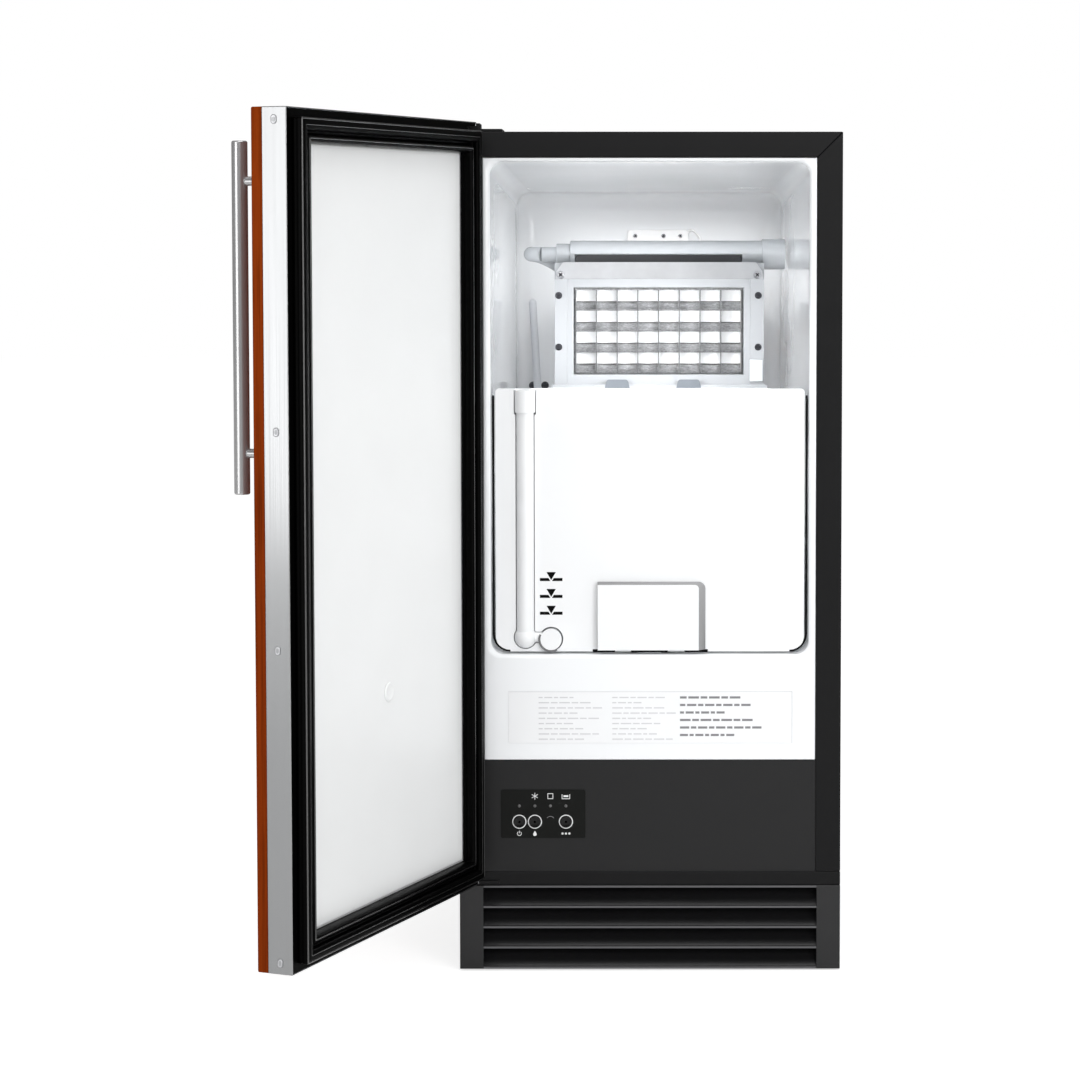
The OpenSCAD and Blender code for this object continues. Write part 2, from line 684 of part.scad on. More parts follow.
// Strain-relief bush in the back panel for the supply lead
module power_gland() color([0.08, 0.08, 0.08]) difference() {
    union() {
        rod([gland[0], yb - 10, gland[1]], [gland[0], yb + 4, gland[1]], 8.9);
        rod([gland[0], yb, gland[1]], [gland[0], yb + 4, gland[1]], 13);
    }
    rod([gland[0], yb - 11, gland[1]], [gland[0], yb + 5, gland[1]], gland_r);
}

// Levelling foot: a pad on a threaded stud
module foot(side, end) color([0.16, 0.16, 0.17])
    translate([side * foot_x, end * foot_y, 0]) {
        cylinder(r1 = 17, r2 = 15, h = 6);
        cylinder(r = 9, h = 10, $fn = 6);
        cylinder(r = 4, h = 34);
    }

// ---------- Hinges ----------

// Arm around a pin, reaching back to the cabinet
module hinge_arm(z, back) {
    translate([pin_x, pin_y, z]) cylinder(r = 6.3, h = bracket_t);
    block([pin_x - 6.3, pin_x + 6.3], [pin_y, yf + back], [z, z + bracket_t]);
}

module hinge_brackets() color([0.1, 0.1, 0.1]) {
    top_z = cab_top;
    hinge_arm(top_z, 12);
    block([-half_w + 2, -half_w + 44], [yf + 8, yf + 60], [top_z, top_z + bracket_t]);
    translate([pin_x, pin_y, top_z - 24]) cylinder(r = pin_r, h = 25);
    foot_z = door_low - bracket_t - 0.8;
    hinge_arm(foot_z, 0);
    block([-half_w + 1, -half_w + 40], [yf - 2.4, yf], [foot_z, foot_z + bracket_t]);
    translate([pin_x, pin_y, foot_z]) cylinder(r = pin_r, h = 24);
}

module hinge_bushes() color([0.85, 0.85, 0.82]) on_door() difference() {
    union() {
        translate([pin_x, pin_y, door_low]) cylinder(r = bush_r, h = 22);
        translate([pin_x, pin_y, cab_top - 25]) cylinder(r = bush_r, h = 24);
    }
    translate([pin_x, pin_y, door_low - 1]) cylinder(r = pin_r + run_gap, h = 24);
    translate([pin_x, pin_y, cab_top - 26]) cylinder(r = pin_r + run_gap, h = 26);
}

// ---------- Door ----------

module door_edge_frame() color([0.85, 0.86, 0.87]) on_door() difference() {
    block([-half_w, half_w], [edge_y, door_in], [door_low, door_high]);
    block([-half_w + rail_t, half_w - rail_t], [edge_y - 1, door_in + 1],
        [door_low + rail_t, door_high - rail_t]);
    block([-half_w + lip_t, half_w - lip_t], [door_in - plate_t, door_in + 1],
        [door_low + lip_t, door_high - lip_t]);
    // Slot that the top hinge arm swings through, and the seats of the bushes
    block([-half_w - 1, -half_w + 22], [edge_y + 1, door_in + 1], [cab_top - 0.8, cab_top + 4.4]);
    translate([pin_x, pin_y, door_low - 1]) cylinder(r = bush_r, h = 23);
    translate([pin_x, pin_y, cab_top - 25]) cylinder(r = bush_r, h = 26);
}

module door_panel() color([0.44, 0.16, 0.03]) on_door()
    block([-half_w, half_w], [wood_y, edge_y], [door_low, door_high]);

module door_inner_frame() color([0.05, 0.05, 0.05]) on_door() difference() {
    block([-half_w + lip_t, half_w - lip_t], [door_in - plate_t, door_in],
        [door_low + lip_t, door_high - lip_t]);
    block([-half_w + band, half_w - band], [door_in - plate_t - 1, door_in + 1],
        [door_low + band, door_high - band]);
    block([-half_w - 1, -half_w + 22], [door_in - plate_t - 1, door_in + 1],
        [cab_top - 0.8, cab_top + 4.4]);
}

// Gasket with a tall outer bead and a lower inner lip
module door_gasket() color([0.03, 0.03, 0.03]) on_door() {
    edge = 8.6;
    bead = 11;
    difference() {
        standing([door_in, yf - gap])
            rounded([-half_w + edge, half_w - edge], [door_low + edge, door_high - edge], 8);
        standing([door_in - 1, yf + 1]) rounded([-half_w + edge + bead, half_w - edge - bead],
            [door_low + edge + bead, door_high - edge - bead], 4);
    }
    difference() {
        standing([door_in, door_in + 9])
            rounded([-half_w + 23, half_w - 23], [door_low + 23, door_high - 23], 4);
        standing([door_in - 1, door_in + 10])
            rounded([-half_w + band, half_w - band], [door_low + band, door_high - band], 2);
    }
    ring([-half_w + 18, half_w - 18], [door_low + 18, door_high - 18], 6, [door_in, door_in + 3]);
}

module door_liner() color([0.92, 0.93, 0.93]) on_door() {
    block([-half_w + rail_t + gap, half_w - rail_t - gap], [liner_y - 2, liner_y],
        [door_low + rail_t + gap, door_high - rail_t - gap]);
    translate([-3, liner_y, 311]) rotate([-90, 0, 0]) cylinder(r = 9, h = 1.6);
}

module door_insulation() color([0.93, 0.88, 0.7]) on_door()
    block([-half_w + rail_t + gap, half_w - rail_t - gap], [edge_y + 0.2, liner_y - 2.2],
        [door_low + rail_t + gap, door_high - rail_t - gap]);

// Bar handle on two posts
module handle() color([0.75, 0.75, 0.76]) on_door() {
    y = wood_y - handle_off;
    translate([handle_x, y, handle_low + 1]) cylinder(r = handle_r, h = handle_l - 2);
    translate([handle_x, y, handle_low]) cylinder(r = handle_r - 1, h = handle_l);
    for (z = post_z) rod([handle_x, y, z], [handle_x, wood_y, z], post_r);
}

module door_edge_screws() color([0.7, 0.7, 0.71]) on_door()
    for (z = [102, 374.3, 562.6, 829.5]) {
        y = door_in - edge_t / 2;
        rod([half_w, y, z], [half_w + 1, y, z], 4);
    }

outer_case();
back_panel();
base_pan();
trim_top();
trim_side(-1);  // trim_left
trim_side(1);  // trim_right
lower_rail();
kick_grille();
fascia();
control_overlay();
control_board();
push_button(button_x[0]);  // button_power
push_button(button_x[1]);  // button_clean
push_button(button_x[2]);  // button_mode
rating_label();
liner();
insulation();
bin_front();
pump_cover();
drain_socket();
drain_tube();
bin_floor();
water_pump();
pump_impeller();
riser_hose();
evaporator_grid();
evaporator_frame();
evaporator_top_bar();
evaporator_screws();
evaporator_coil();
water_trough();
distribution_tube();
tube_fittings();
sensor_bracket();
ice_level_probe();
thermistor_clip();
compressor();
compressor_mounts();
condenser();
fan_shroud();
fan_motor();
fan_blade();
filter_drier();
refrigerant_lines();
water_inlet_valve();
power_gland();
foot(-1, -1);  // foot_front_left
foot(1, -1);  // foot_front_right
foot(-1, 1);  // foot_rear_left
foot(1, 1);  // foot_rear_right
hinge_brackets();
hinge_bushes();
door_edge_frame();
door_panel();
door_inner_frame();
door_gasket();
door_liner();
door_insulation();
handle();
door_edge_screws();
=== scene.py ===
"""Looks of an undercounter ice maker with a framed wood door, standing open.

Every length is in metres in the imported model's own frame: +X right, +Y to the back, +Z up.
Pieces of the door are built for the shut door and then swung open about its pins.
"""
import json
import math

import bmesh
import bpy
from mathutils import Matrix, Vector


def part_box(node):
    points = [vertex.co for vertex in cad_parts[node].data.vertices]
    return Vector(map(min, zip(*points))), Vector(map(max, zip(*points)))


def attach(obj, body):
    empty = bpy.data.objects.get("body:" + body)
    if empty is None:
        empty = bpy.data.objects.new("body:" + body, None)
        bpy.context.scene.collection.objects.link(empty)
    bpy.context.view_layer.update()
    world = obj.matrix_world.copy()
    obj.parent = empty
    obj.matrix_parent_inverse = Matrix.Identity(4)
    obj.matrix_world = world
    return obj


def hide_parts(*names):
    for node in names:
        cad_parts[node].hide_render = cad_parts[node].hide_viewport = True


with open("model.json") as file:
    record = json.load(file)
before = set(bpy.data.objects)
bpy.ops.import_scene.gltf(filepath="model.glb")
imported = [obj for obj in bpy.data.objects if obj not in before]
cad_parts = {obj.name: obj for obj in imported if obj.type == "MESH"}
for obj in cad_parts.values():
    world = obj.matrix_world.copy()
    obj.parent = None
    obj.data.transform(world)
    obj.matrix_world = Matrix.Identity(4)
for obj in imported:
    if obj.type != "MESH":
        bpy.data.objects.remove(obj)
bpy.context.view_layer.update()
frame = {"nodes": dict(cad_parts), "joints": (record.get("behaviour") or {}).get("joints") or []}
nodes = frame["nodes"]
scene = bpy.context.scene

# ---------- Places taken from the frame ----------

hinge = next(j for j in frame["joints"] if j["name"] == "door_hinge")
PIVOT = Vector(hinge["pos_m"])
SHUT = math.radians(hinge["range_deg"][0])
OPEN = (Matrix.Translation(PIVOT) @ Matrix.Rotation(-SHUT, 4, Vector(hinge["axis"]))
        @ Matrix.Translation(-PIVOT))


def corners_of(points):
    """Lowest and highest corner of the box around some points."""
    return (Vector(min(p[i] for p in points) for i in range(3)),
            Vector(max(p[i] for p in points) for i in range(3)))


def shut_box(node):
    """Lowest and highest corner of a door node with the door shut."""
    back = OPEN.inverted()
    return corners_of([back @ v.co for v in nodes[node].data.vertices])


def solids(node, swing=False):
    """The box of each separate solid of a node, from left to right; shut if swing is set."""
    back = OPEN.inverted() if swing else Matrix()
    bm = bmesh.new()
    bm.from_mesh(nodes[node].data)
    bmesh.ops.remove_doubles(bm, verts=bm.verts, dist=0.000005)
    left, boxes = set(bm.verts), []
    while left:
        group, edge = set(), [left.pop()]
        while edge:
            vert = edge.pop()
            group.add(vert)
            near = {e.other_vert(vert) for e in vert.link_edges} & left
            left -= near
            edge += near
        boxes.append(corners_of([back @ v.co for v in group]))
    bm.free()
    return sorted(boxes, key=lambda b: (round(b[0].x, 4), round(b[0].z, 4)))


def middle(box):
    return (box[0] + box[1]) / 2


trim_low, trim_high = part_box("trim_top")
FRONT = trim_low.y                      # front plane of the cabinet
HALF_W = trim_high.x                    # half of the cabinet's width
TOP = trim_high.z
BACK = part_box("back_panel")[1].y
liner_low, liner_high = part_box("liner")
bin_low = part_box("bin_front")[0]
edge_low, edge_high = shut_box("door_edge_frame")
wood_low, wood_high = shut_box("door_panel")
DOOR_IN = edge_high.y                   # inner face of the shut door
grid_low, grid_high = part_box("evaporator_grid")
evap_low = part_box("evaporator_frame")[0]

# ---------- Materials ----------


class Look:
    """A node-based material around one Principled shader."""

    def __init__(self, name, colour, rough=0.5, metal=0.0, specular=0.5, **more):
        self.mat = bpy.data.materials.new(name)
        self.mat.use_nodes = True
        self.tree = self.mat.node_tree
        self.shader = next(n for n in self.tree.nodes if n.type == "BSDF_PRINCIPLED")
        self.set("Base Color", (*colour, 1))
        self.set("Roughness", rough)
        self.set("Metallic", metal)
        self.set("Specular IOR Level", specular)
        for key, value in more.items():
            self.set(key.replace("_", " "), value)
        self.colour = colour
        self.place = self.add("ShaderNodeTexCoord")
        self.height = None

    def set(self, socket, value):
        self.shader.inputs[socket].default_value = value

    def add(self, kind, **settings):
        """A new node; a setting goes to the socket of that name, or else to the node itself."""
        node = self.tree.nodes.new(kind)
        for key, value in settings.items():
            socket = key.replace("_", " ")
            if socket in node.inputs:
                node.inputs[socket].default_value = value
            else:
                setattr(node, key, value)
        return node

    def link(self, a, b):
        self.tree.links.new(a, b)

    def noise(self, scale, stretch=(1, 1, 1), detail=4, roughness=0.55, distortion=0.0):
        """Noise over the piece's own coordinates, drawn out along an axis by a small stretch."""
        mapping = self.add("ShaderNodeMapping", Scale=stretch)
        self.link(self.place.outputs["Object"], mapping.inputs["Vector"])
        node = self.add("ShaderNodeTexNoise", Scale=scale, Detail=detail, Roughness=roughness,
                        Distortion=distortion)
        self.link(mapping.outputs["Vector"], node.inputs["Vector"])
        return node.outputs["Fac"]

    def ramp(self, source, stops):
        node = self.add("ShaderNodeValToRGB")
        band = node.color_ramp
        while len(band.elements) < len(stops):
            band.elements.new(0.5)
        for element, (at, colour) in zip(band.elements, stops):
            element.position = at
            element.color = (*colour, 1)
        self.link(source, node.inputs["Fac"])
        return node.outputs["Color"]

    def spread(self, source, low, high, start=0.3, stop=0.7):
        node = self.add("ShaderNodeMapRange", From_Min=start, From_Max=stop, To_Min=low, To_Max=high)
        self.link(source, node.inputs["Value"])
        return node.outputs["Result"]

    def tint(self, source, amount, start=0.3, stop=0.7):
        """Base colour wandering by a share of itself."""
        low = tuple(c * (1 - amount) for c in self.colour)
        high = tuple(min(1.0, c * (1 + amount)) for c in self.colour)
        self.link(self.ramp(source, [(start, low), (stop, high)]), self.shader.inputs["Base Color"])

    def gloss(self, source, low, high, start=0.3, stop=0.7):
        self.link(self.spread(source, low, high, start, stop), self.shader.inputs["Roughness"])

    def bump(self, source, distance, strength=1.0):
        """Fine relief of the given depth, added over any relief already there."""
        node = self.add("ShaderNodeBump", Strength=strength, Distance=distance)
        self.link(source, node.inputs["Height"])
        if self.height is not None:
            self.link(self.height, node.inputs["Normal"])
        self.height = node.outputs["Normal"]
        self.link(self.height, self.shader.inputs["Normal"])


def painted_steel(name, colour, rough, specular):
    """Sprayed sheet steel: a faint orange peel, and a little unevenness in the gloss."""
    look = Look(name, colour, rough, specular=specular)
    look.tint(look.noise(4, detail=1), 0.03)
    look.gloss(look.noise(30, detail=2), rough - 0.02, rough + 0.02)
    look.bump(look.noise(900, detail=2), 0.00004, 0.5)
    return look.mat


def moulded(name, colour, rough, grain=0.00002, specular=0.5, **more):
    """Moulded plastic: a fine surface grain and slow waves in its gloss."""
    look = Look(name, colour, rough, specular=specular, **more)
    look.tint(look.noise(14, detail=1), 0.008)
    look.gloss(look.noise(35, detail=1), rough * 0.95, rough * 1.05)
    look.bump(look.noise(1400, detail=2), grain, 0.3)
    return look.mat


def vacuum_formed(name, colour, rough, wave):
    """Glossy sheet drawn into a mould: long shallow waves under a smooth skin."""
    look = Look(name, colour, rough, specular=0.5, Coat_Weight=0.25, Coat_Roughness=0.06)
    look.tint(look.noise(5, detail=1), 0.006)
    look.gloss(look.noise(12, detail=1), rough * 0.9, rough * 1.1)
    look.bump(look.noise(5, detail=0), wave, 0.4)
    look.bump(look.noise(900, detail=1), 0.000004, 0.2)
    return look.mat


def brushed(name, colour, rough, along, turn=0.5, share=1.0):
    """Brushed metal: fine scratches drawn out along one axis, with a soft anisotropic shine."""
    look = Look(name, colour, rough, metal=share, Anisotropic=turn)
    stretch = tuple(0.004 if axis == along else 1.0 for axis in "xyz")
    lines = look.noise(2600, stretch, detail=3, roughness=0.7)
    look.tint(lines, 0.03)
    look.gloss(look.noise(900, stretch, detail=3), rough - 0.03, rough + 0.05)
    look.bump(lines, 0.000004, 0.3)
    return look.mat


def mahogany():
    """Red-brown stained wood, its grain upright: dark pores, slow bands and a satin lacquer."""
    look = Look("mahogany", (0.155, 0.020, 0.0016), 0.5, specular=0.02)
    bands = look.noise(26, (1, 0.6, 0.07), detail=6, roughness=0.6, distortion=1.4)
    tone = look.ramp(bands, [(0.25, (0.10, 0.011, 0.0007)), (0.45, (0.165, 0.021, 0.0014)),
                             (0.6, (0.21, 0.030, 0.002)), (0.78, (0.28, 0.048, 0.004))])
    pores = look.noise(420, (1, 1, 0.018), detail=5, roughness=0.7)
    dark = look.ramp(pores, [(0.36, (0.5, 0.45, 0.4)), (0.52, (1, 1, 1))])
    mix = look.add("ShaderNodeMix", data_type="RGBA", blend_type="MULTIPLY")
    first, second = (s for s in mix.inputs if s.type == "RGBA")
    mix.inputs[0].default_value = 0.75
    look.link(tone, first)
    look.link(dark, second)
    look.link(next(s for s in mix.outputs if s.type == "RGBA"), look.shader.inputs["Base Color"])
    look.gloss(pores, 0.6, 0.45, 0.3, 0.6)
    look.bump(pores, 0.0001, 0.3)
    return look.mat


def tinned_metal():
    """Tin-plated ice cells: dull silver, mottled where water has run over it."""
    look = Look("tinned_metal", (0.46, 0.46, 0.47), 0.38, metal=0.85)
    mottle = look.noise(240, detail=6, roughness=0.65, distortion=0.6)
    look.tint(mottle, 0.35, 0.35, 0.66)
    look.gloss(look.noise(120, detail=4), 0.28, 0.5)
    look.bump(mottle, 0.00012, 0.4)
    return look.mat


def rubber(name, colour, rough, specular, grain=0.00002, **more):
    look = Look(name, colour, rough, specular=specular, **more)
    look.tint(look.noise(60, detail=2), 0.1)
    look.gloss(look.noise(40, detail=1), rough * 0.95, rough * 1.1)
    look.bump(look.noise(1600, detail=2), grain, 0.3)
    return look.mat


def cast_finish(name, colour, rough):
    """Thick glossy dip paint over a drawn steel shell."""
    look = Look(name, colour, rough, specular=0.5)
    look.tint(look.noise(12, detail=5), 0.2)
    look.gloss(look.noise(40, detail=4), rough - 0.06, rough + 0.12)
    look.bump(look.noise(180, detail=3), 0.0001, 0.3)
    return look.mat


def metal(name, colour, rough, mottle=0.12):
    look = Look(name, colour, rough, metal=1.0)
    look.tint(look.noise(45, detail=6), mottle)
    look.gloss(look.noise(120, detail=5), rough - 0.07, rough + 0.12)
    look.bump(look.noise(600, detail=3), 0.00003, 0.3)
    return look.mat


def foam_core(name):
    look = Look(name, (0.8, 0.68, 0.38), 0.9)
    look.tint(look.noise(300, detail=6), 0.2)
    look.bump(look.noise(420, detail=5), 0.0006, 0.6)
    return look.mat


BLACK_CASE = painted_steel("black_case_paint", (0.0105, 0.0105, 0.0112), 0.36, 0.25)
BLACK_TRIM = painted_steel("black_trim_paint", (0.0068, 0.0068, 0.0072), 0.36, 0.14)
FASCIA = painted_steel("fascia_paint", (0.009, 0.009, 0.0095), 0.44, 0.3)
GRILLE = moulded("grille_plastic", (0.0082, 0.0082, 0.0088), 0.26, 0.000004, 0.5)
# Light grey for the louvre lips: a painted highlight
GRILLE_LIP_HIGHLIGHT = moulded("grille_lip_painted_highlight", (0.085, 0.085, 0.09), 0.4, 0.00001)
ZINC = metal("zinc_steel", (0.42, 0.43, 0.44), 0.42)
OVERLAY = moulded("overlay_film", (0.005, 0.0055, 0.0048), 0.45, 0.00002, 0.14)
PRINT_WHITE = moulded("print_white", (0.85, 0.86, 0.86), 0.5, 0.00001)
PRINT_BLACK = moulded("print_black", (0.003, 0.003, 0.003), 0.6, 0.00001, 0.05)
PRINT_GREY = moulded("print_grey", (0.22, 0.22, 0.23), 0.5, 0.00001)
PRINT_FAINT = moulded("print_faint", (0.62, 0.62, 0.64), 0.5, 0.00001)
BUTTON = moulded("button_plastic", (0.003, 0.003, 0.003), 0.2, 0.000004, 0.3)
LAMP = moulded("lamp_lens", (0.10, 0.10, 0.10), 0.15, 0.00001)
LABEL = moulded("label_film", (0.86, 0.868, 0.88), 0.32, 0.00001)
LINER = vacuum_formed("liner_skin", (0.87, 0.885, 0.90), 0.08, 0.0001)
PANEL = moulded("bin_panel_plastic", (0.88, 0.89, 0.90), 0.3, 0.000015)
WHITE = moulded("white_plastic", (0.70, 0.72, 0.75), 0.3, 0.00002)
# Grey of the pump cover's top and right flank: painted shade
SHADE = moulded("cover_painted_shade", (0.33, 0.33, 0.335), 0.4, 0.00002)
TAB = moulded("grey_tab_plastic", (0.17, 0.19, 0.215), 0.4, 0.00002)
BRIGHT = moulded("white_sensor_plastic", (0.93, 0.93, 0.93), 0.3, 0.00002)
CLEAR = moulded("milky_plastic", (0.66, 0.685, 0.71), 0.16, 0.00001, Subsurface_Weight=0.12,
                Subsurface_Radius=(0.01, 0.01, 0.01))
PUMP = moulded("pump_plastic", (0.02, 0.02, 0.022), 0.45, 0.00004)
CELLS = tinned_metal()
FRAME = moulded("evaporator_frame_plastic", (0.43, 0.445, 0.465), 0.3, 0.00002)
SHADOW = moulded("painted_bore_shade", (0.10, 0.10, 0.105), 0.6, 0.00002)
CELL_SHADE_LINE = moulded("cell_shade_line_shadow", (0.13, 0.13, 0.135), 0.5, 0.00001)
# Bright white for the backs of the tinned cells: painted light, for the light they reflect
CELL_BACK_LIGHT = moulded("cell_back_painted_light", (0.93, 0.945, 0.96), 0.2, 0.00002)
LIP = metal("lip_aluminium", (0.74, 0.75, 0.77), 0.4, 0.04)
# Dark steel for the darker screw heads, and painted shade in the cross recesses
DARK_STEEL_AND_RECESS_SHADE = metal("dark_steel_and_recess_shade", (0.10, 0.10, 0.11), 0.35)
BRIGHT_SCREW = metal("bright_screw_steel", (0.62, 0.62, 0.64), 0.28)
COPPER = metal("copper_tube", (0.62, 0.30, 0.17), 0.34)
COMPRESSOR = cast_finish("compressor_paint", (0.009, 0.009, 0.010), 0.3)
RUBBER = rubber("black_rubber", (0.010, 0.010, 0.010), 0.62, 0.4)
GASKET = rubber("gasket_vinyl", (0.0008, 0.0008, 0.0008), 0.3, 0.03, 0.000002)
GASKET_ROLL = rubber("gasket_roll", (0.004, 0.004, 0.004), 0.2, 1.0, 0.000001, Coat_Weight=1.0,
                     Coat_Roughness=0.2)
# Black for the gaps and slots around the bin front: painted shade
GAP_SHADE = rubber("painted_shade_black", (0.004, 0.004, 0.004), 0.6, 0.1)
# Dark grey for the crescent at the drain socket: painted shadow
SOCKET_SHADOW_GREY = rubber("painted_socket_shadow", (0.16, 0.16, 0.165), 0.5, 0.2)
INNER_FRAME = moulded("inner_frame_plastic", (0.0008, 0.0008, 0.0008), 0.4, 0.00001, 0.03)
FINS = metal("fin_aluminium", (0.55, 0.56, 0.57), 0.4)
EDGE = brushed("edge_aluminium", (0.375, 0.38, 0.385), 0.2, "z")
STEEL = brushed("handle_steel", (0.58, 0.58, 0.585), 0.2, "z", 0.4, share=0.72)
WOOD = mahogany()
DOOR_LINER = moulded("door_liner_skin", (0.86, 0.87, 0.87), 0.38, 0.000006)
NYLON = moulded("nylon_bush", (0.7, 0.7, 0.66), 0.5)
FOAM = foam_core("foam_core")
BOARD = moulded("circuit_board", (0.02, 0.12, 0.05), 0.5)

# ---------- Making of pieces ----------


def weld_and_round(obj, width, segments=2, angle=35):
    """Rounded edges with flat faces kept flat; a width of 0 leaves the edges crisp."""
    for name in ("custom_normal", "sharp_edge"):
        if name in obj.data.attributes:
            obj.data.attributes.remove(obj.data.attributes[name])
    for face in obj.data.polygons:
        face.use_smooth = True
    weld = obj.modifiers.new("weld", "WELD")
    weld.merge_threshold = 0.00001
    flat = obj.modifiers.new("flat", "DECIMATE")
    flat.decimate_type = "DISSOLVE"
    flat.angle_limit = math.radians(0.2)
    if width:
        edge = obj.modifiers.new("edges", "BEVEL")
        edge.width = width
        edge.segments = segments
        edge.limit_method = "ANGLE"
        edge.angle_limit = math.radians(angle)
        edge.use_clamp_overlap = True
        obj.modifiers.new("normals", "WEIGHTED_NORMAL").weight = 100
    else:
        split = obj.modifiers.new("split", "EDGE_SPLIT")
        split.split_angle = math.radians(angle)


def dress(node, material, width=0.0, segments=2, angle=35):
    """A CAD node that stays, with its own material and softened edges."""
    obj = nodes[node]
    obj.data.materials.clear()
    obj.data.materials.append(material)
    weld_and_round(obj, width, segments, angle)


def piece(name, verts, faces, material, body):
    """A new mesh piece that rides on a body. Door pieces are built shut and swung open."""
    mesh = bpy.data.meshes.new(name)
    mesh.from_pydata([tuple(v) for v in verts], [], faces)
    bm = bmesh.new()
    bm.from_mesh(mesh)
    bmesh.ops.remove_doubles(bm, verts=bm.verts, dist=0.000005)
    bmesh.ops.recalc_face_normals(bm, faces=bm.faces)
    bm.to_mesh(mesh)
    bm.free()
    for face in mesh.polygons:
        face.use_smooth = True
    obj = bpy.data.objects.new(name, mesh)
    obj.data.materials.append(material)
    scene.collection.objects.link(obj)
    if body == "door":
        obj.matrix_world = OPEN
    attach(obj, body)
    return obj


def loft(name, loops, material, body, ring=False):
    """A skin through closed loops of equally many points, capped unless it closes into a ring."""
    count = len(loops[0])
    verts = [p for loop in loops for p in loop]
    faces = []
    last = len(loops) if ring else len(loops) - 1
    for i in range(last):
        a, b = i * count, (i + 1) % len(loops) * count
        for k in range(count):
            n = (k + 1) % count
            faces.append((a + k, a + n, b + n, b + k))
    if not ring:
        faces.append(tuple(range(count)))
        faces.append(tuple((len(loops) - 1) * count + k for k in reversed(range(count))))
    obj = piece(name, verts, faces, material, body)
    obj.modifiers.new("normals", "WEIGHTED_NORMAL").keep_sharp = True
    return obj


def rounded_loop(x, z, y, r, turns=8):
    """Points around a rounded rectangle that faces the front, at one depth."""
    points = []
    corners = ((x[1] - r, z[1] - r), (x[0] + r, z[1] - r), (x[0] + r, z[0] + r), (x[1] - r, z[0] + r))
    for quarter, (cx, cz) in enumerate(corners):
        for i in range(turns + 1):
            a = math.radians(90 * quarter + 90 * i / turns)
            points.append((cx + r * math.cos(a), y, cz + r * math.sin(a)))
    return points


def framed_loop(low, high, inset, y, r, turns):
    """A rounded rectangle at one depth, set in from the edges of a box seen from the front."""
    return rounded_loop((low.x + inset, high.x - inset), (low.z + inset, high.z - inset), y, r, turns)


def arc(x, z, r, angles):
    """Points in X and Z on a circle, at the given angles in degrees."""
    return [(x + r * math.cos(math.radians(a)), z + r * math.sin(math.radians(a))) for a in angles]


def turned(name, profile, centre, axis, material, body, sides=40):
    """A piece turned on a lathe, from radius and height pairs along an axis."""
    out = Vector(axis).normalized()
    u = out.orthogonal().normalized()
    v = out.cross(u)
    loops = [[Vector(centre) + out * h + (u * math.cos(t) + v * math.sin(t)) * max(r, 0.00002)
              for t in (2 * math.pi * k / sides for k in range(sides))] for r, h in profile]
    return loft(name, loops, material, body)


def joined(name, parts):
    """Several new pieces of one kind made into one object."""
    bpy.ops.object.select_all(action="DESELECT")
    for part in parts:
        part.select_set(True)
    bpy.context.view_layer.objects.active = parts[0]
    bpy.ops.object.join()
    parts[0].name = name
    return parts[0]


def smooth_path(points, steps):
    """A curve through the points, each stretch cut into steps."""
    pts = [Vector(p) for p in points]
    ends = [2 * pts[0] - pts[1]] + pts + [2 * pts[-1] - pts[-2]]
    path = []
    for i in range(1, len(ends) - 2):
        a, b, c, d = ends[i - 1:i + 3]
        for k in range(steps):
            t = k / steps
            path.append(0.5 * (2 * b + (c - a) * t + (2 * a - 5 * b + 4 * c - d) * t * t
                               + (3 * b - a - 3 * c + d) * t ** 3))
    return path + [pts[-1]]


def tube(name, points, radius, material, body, sides, steps):
    """Round tube along a smooth path."""
    path = smooth_path(points, steps)
    side = (path[1] - path[0]).orthogonal()
    loops = []
    for i, p in enumerate(path):
        way = (path[min(i + 1, len(path) - 1)] - path[max(i - 1, 0)]).normalized()
        side = (side - way * side.dot(way)).normalized()
        other = way.cross(side)
        loops.append([p + (side * math.cos(t) + other * math.sin(t)) * radius
                      for t in (2 * math.pi * k / sides for k in range(sides))])
    return loft(name, loops, material, body)


def slab(name, x, y, z, material, body, slot, round_by=0.0005, corner=0.001):
    """A plate with rounded corners seen from the front and softened edges."""
    loops = [rounded_loop(x, z, y[0], corner, 5), rounded_loop(x, z, y[1], corner, 5)]
    obj = loft(name, loops, material, body)
    obj.modifiers.clear()
    weld_and_round(obj, round_by)
    return obj


def upright_plate(name, outline, y, material, body, round_by=0.0003):
    """A thin plate with the given outline in X and Z."""
    n = len(outline)
    verts = [(x, d, z) for d in y for x, z in outline]
    faces = [tuple(range(n)), tuple(range(2 * n - 1, n - 1, -1))]
    faces += [(k, (k + 1) % n, n + (k + 1) % n, n + k) for k in range(n)]
    obj = piece(name, verts, faces, material, body)
    weld_and_round(obj, round_by)
    return obj


def printed(name, outline, y, ink):
    """A flat print on the cabinet."""
    return upright_plate(name, outline, y, ink, "cabinet", 0)


def flat_ring(name, centre, r_in, r_out, y, material, body, sides=48, start=0, sweep=360):
    """A thin printed ring or arc that faces the front."""
    steps = max(4, int(sides * sweep / 360))
    whole = sweep == 360
    count = steps if whole else steps + 1
    loops = []
    for k in range(count):
        t = math.radians(start + sweep * k / steps)
        c, s = math.cos(t), math.sin(t)
        loops.append([(centre[0] + r * c, d, centre[1] + r * s)
                      for r, d in ((r_in, y[0]), (r_out, y[0]), (r_out, y[1]), (r_in, y[1]))])
    return loft(name, loops, material, body, ring=whole)


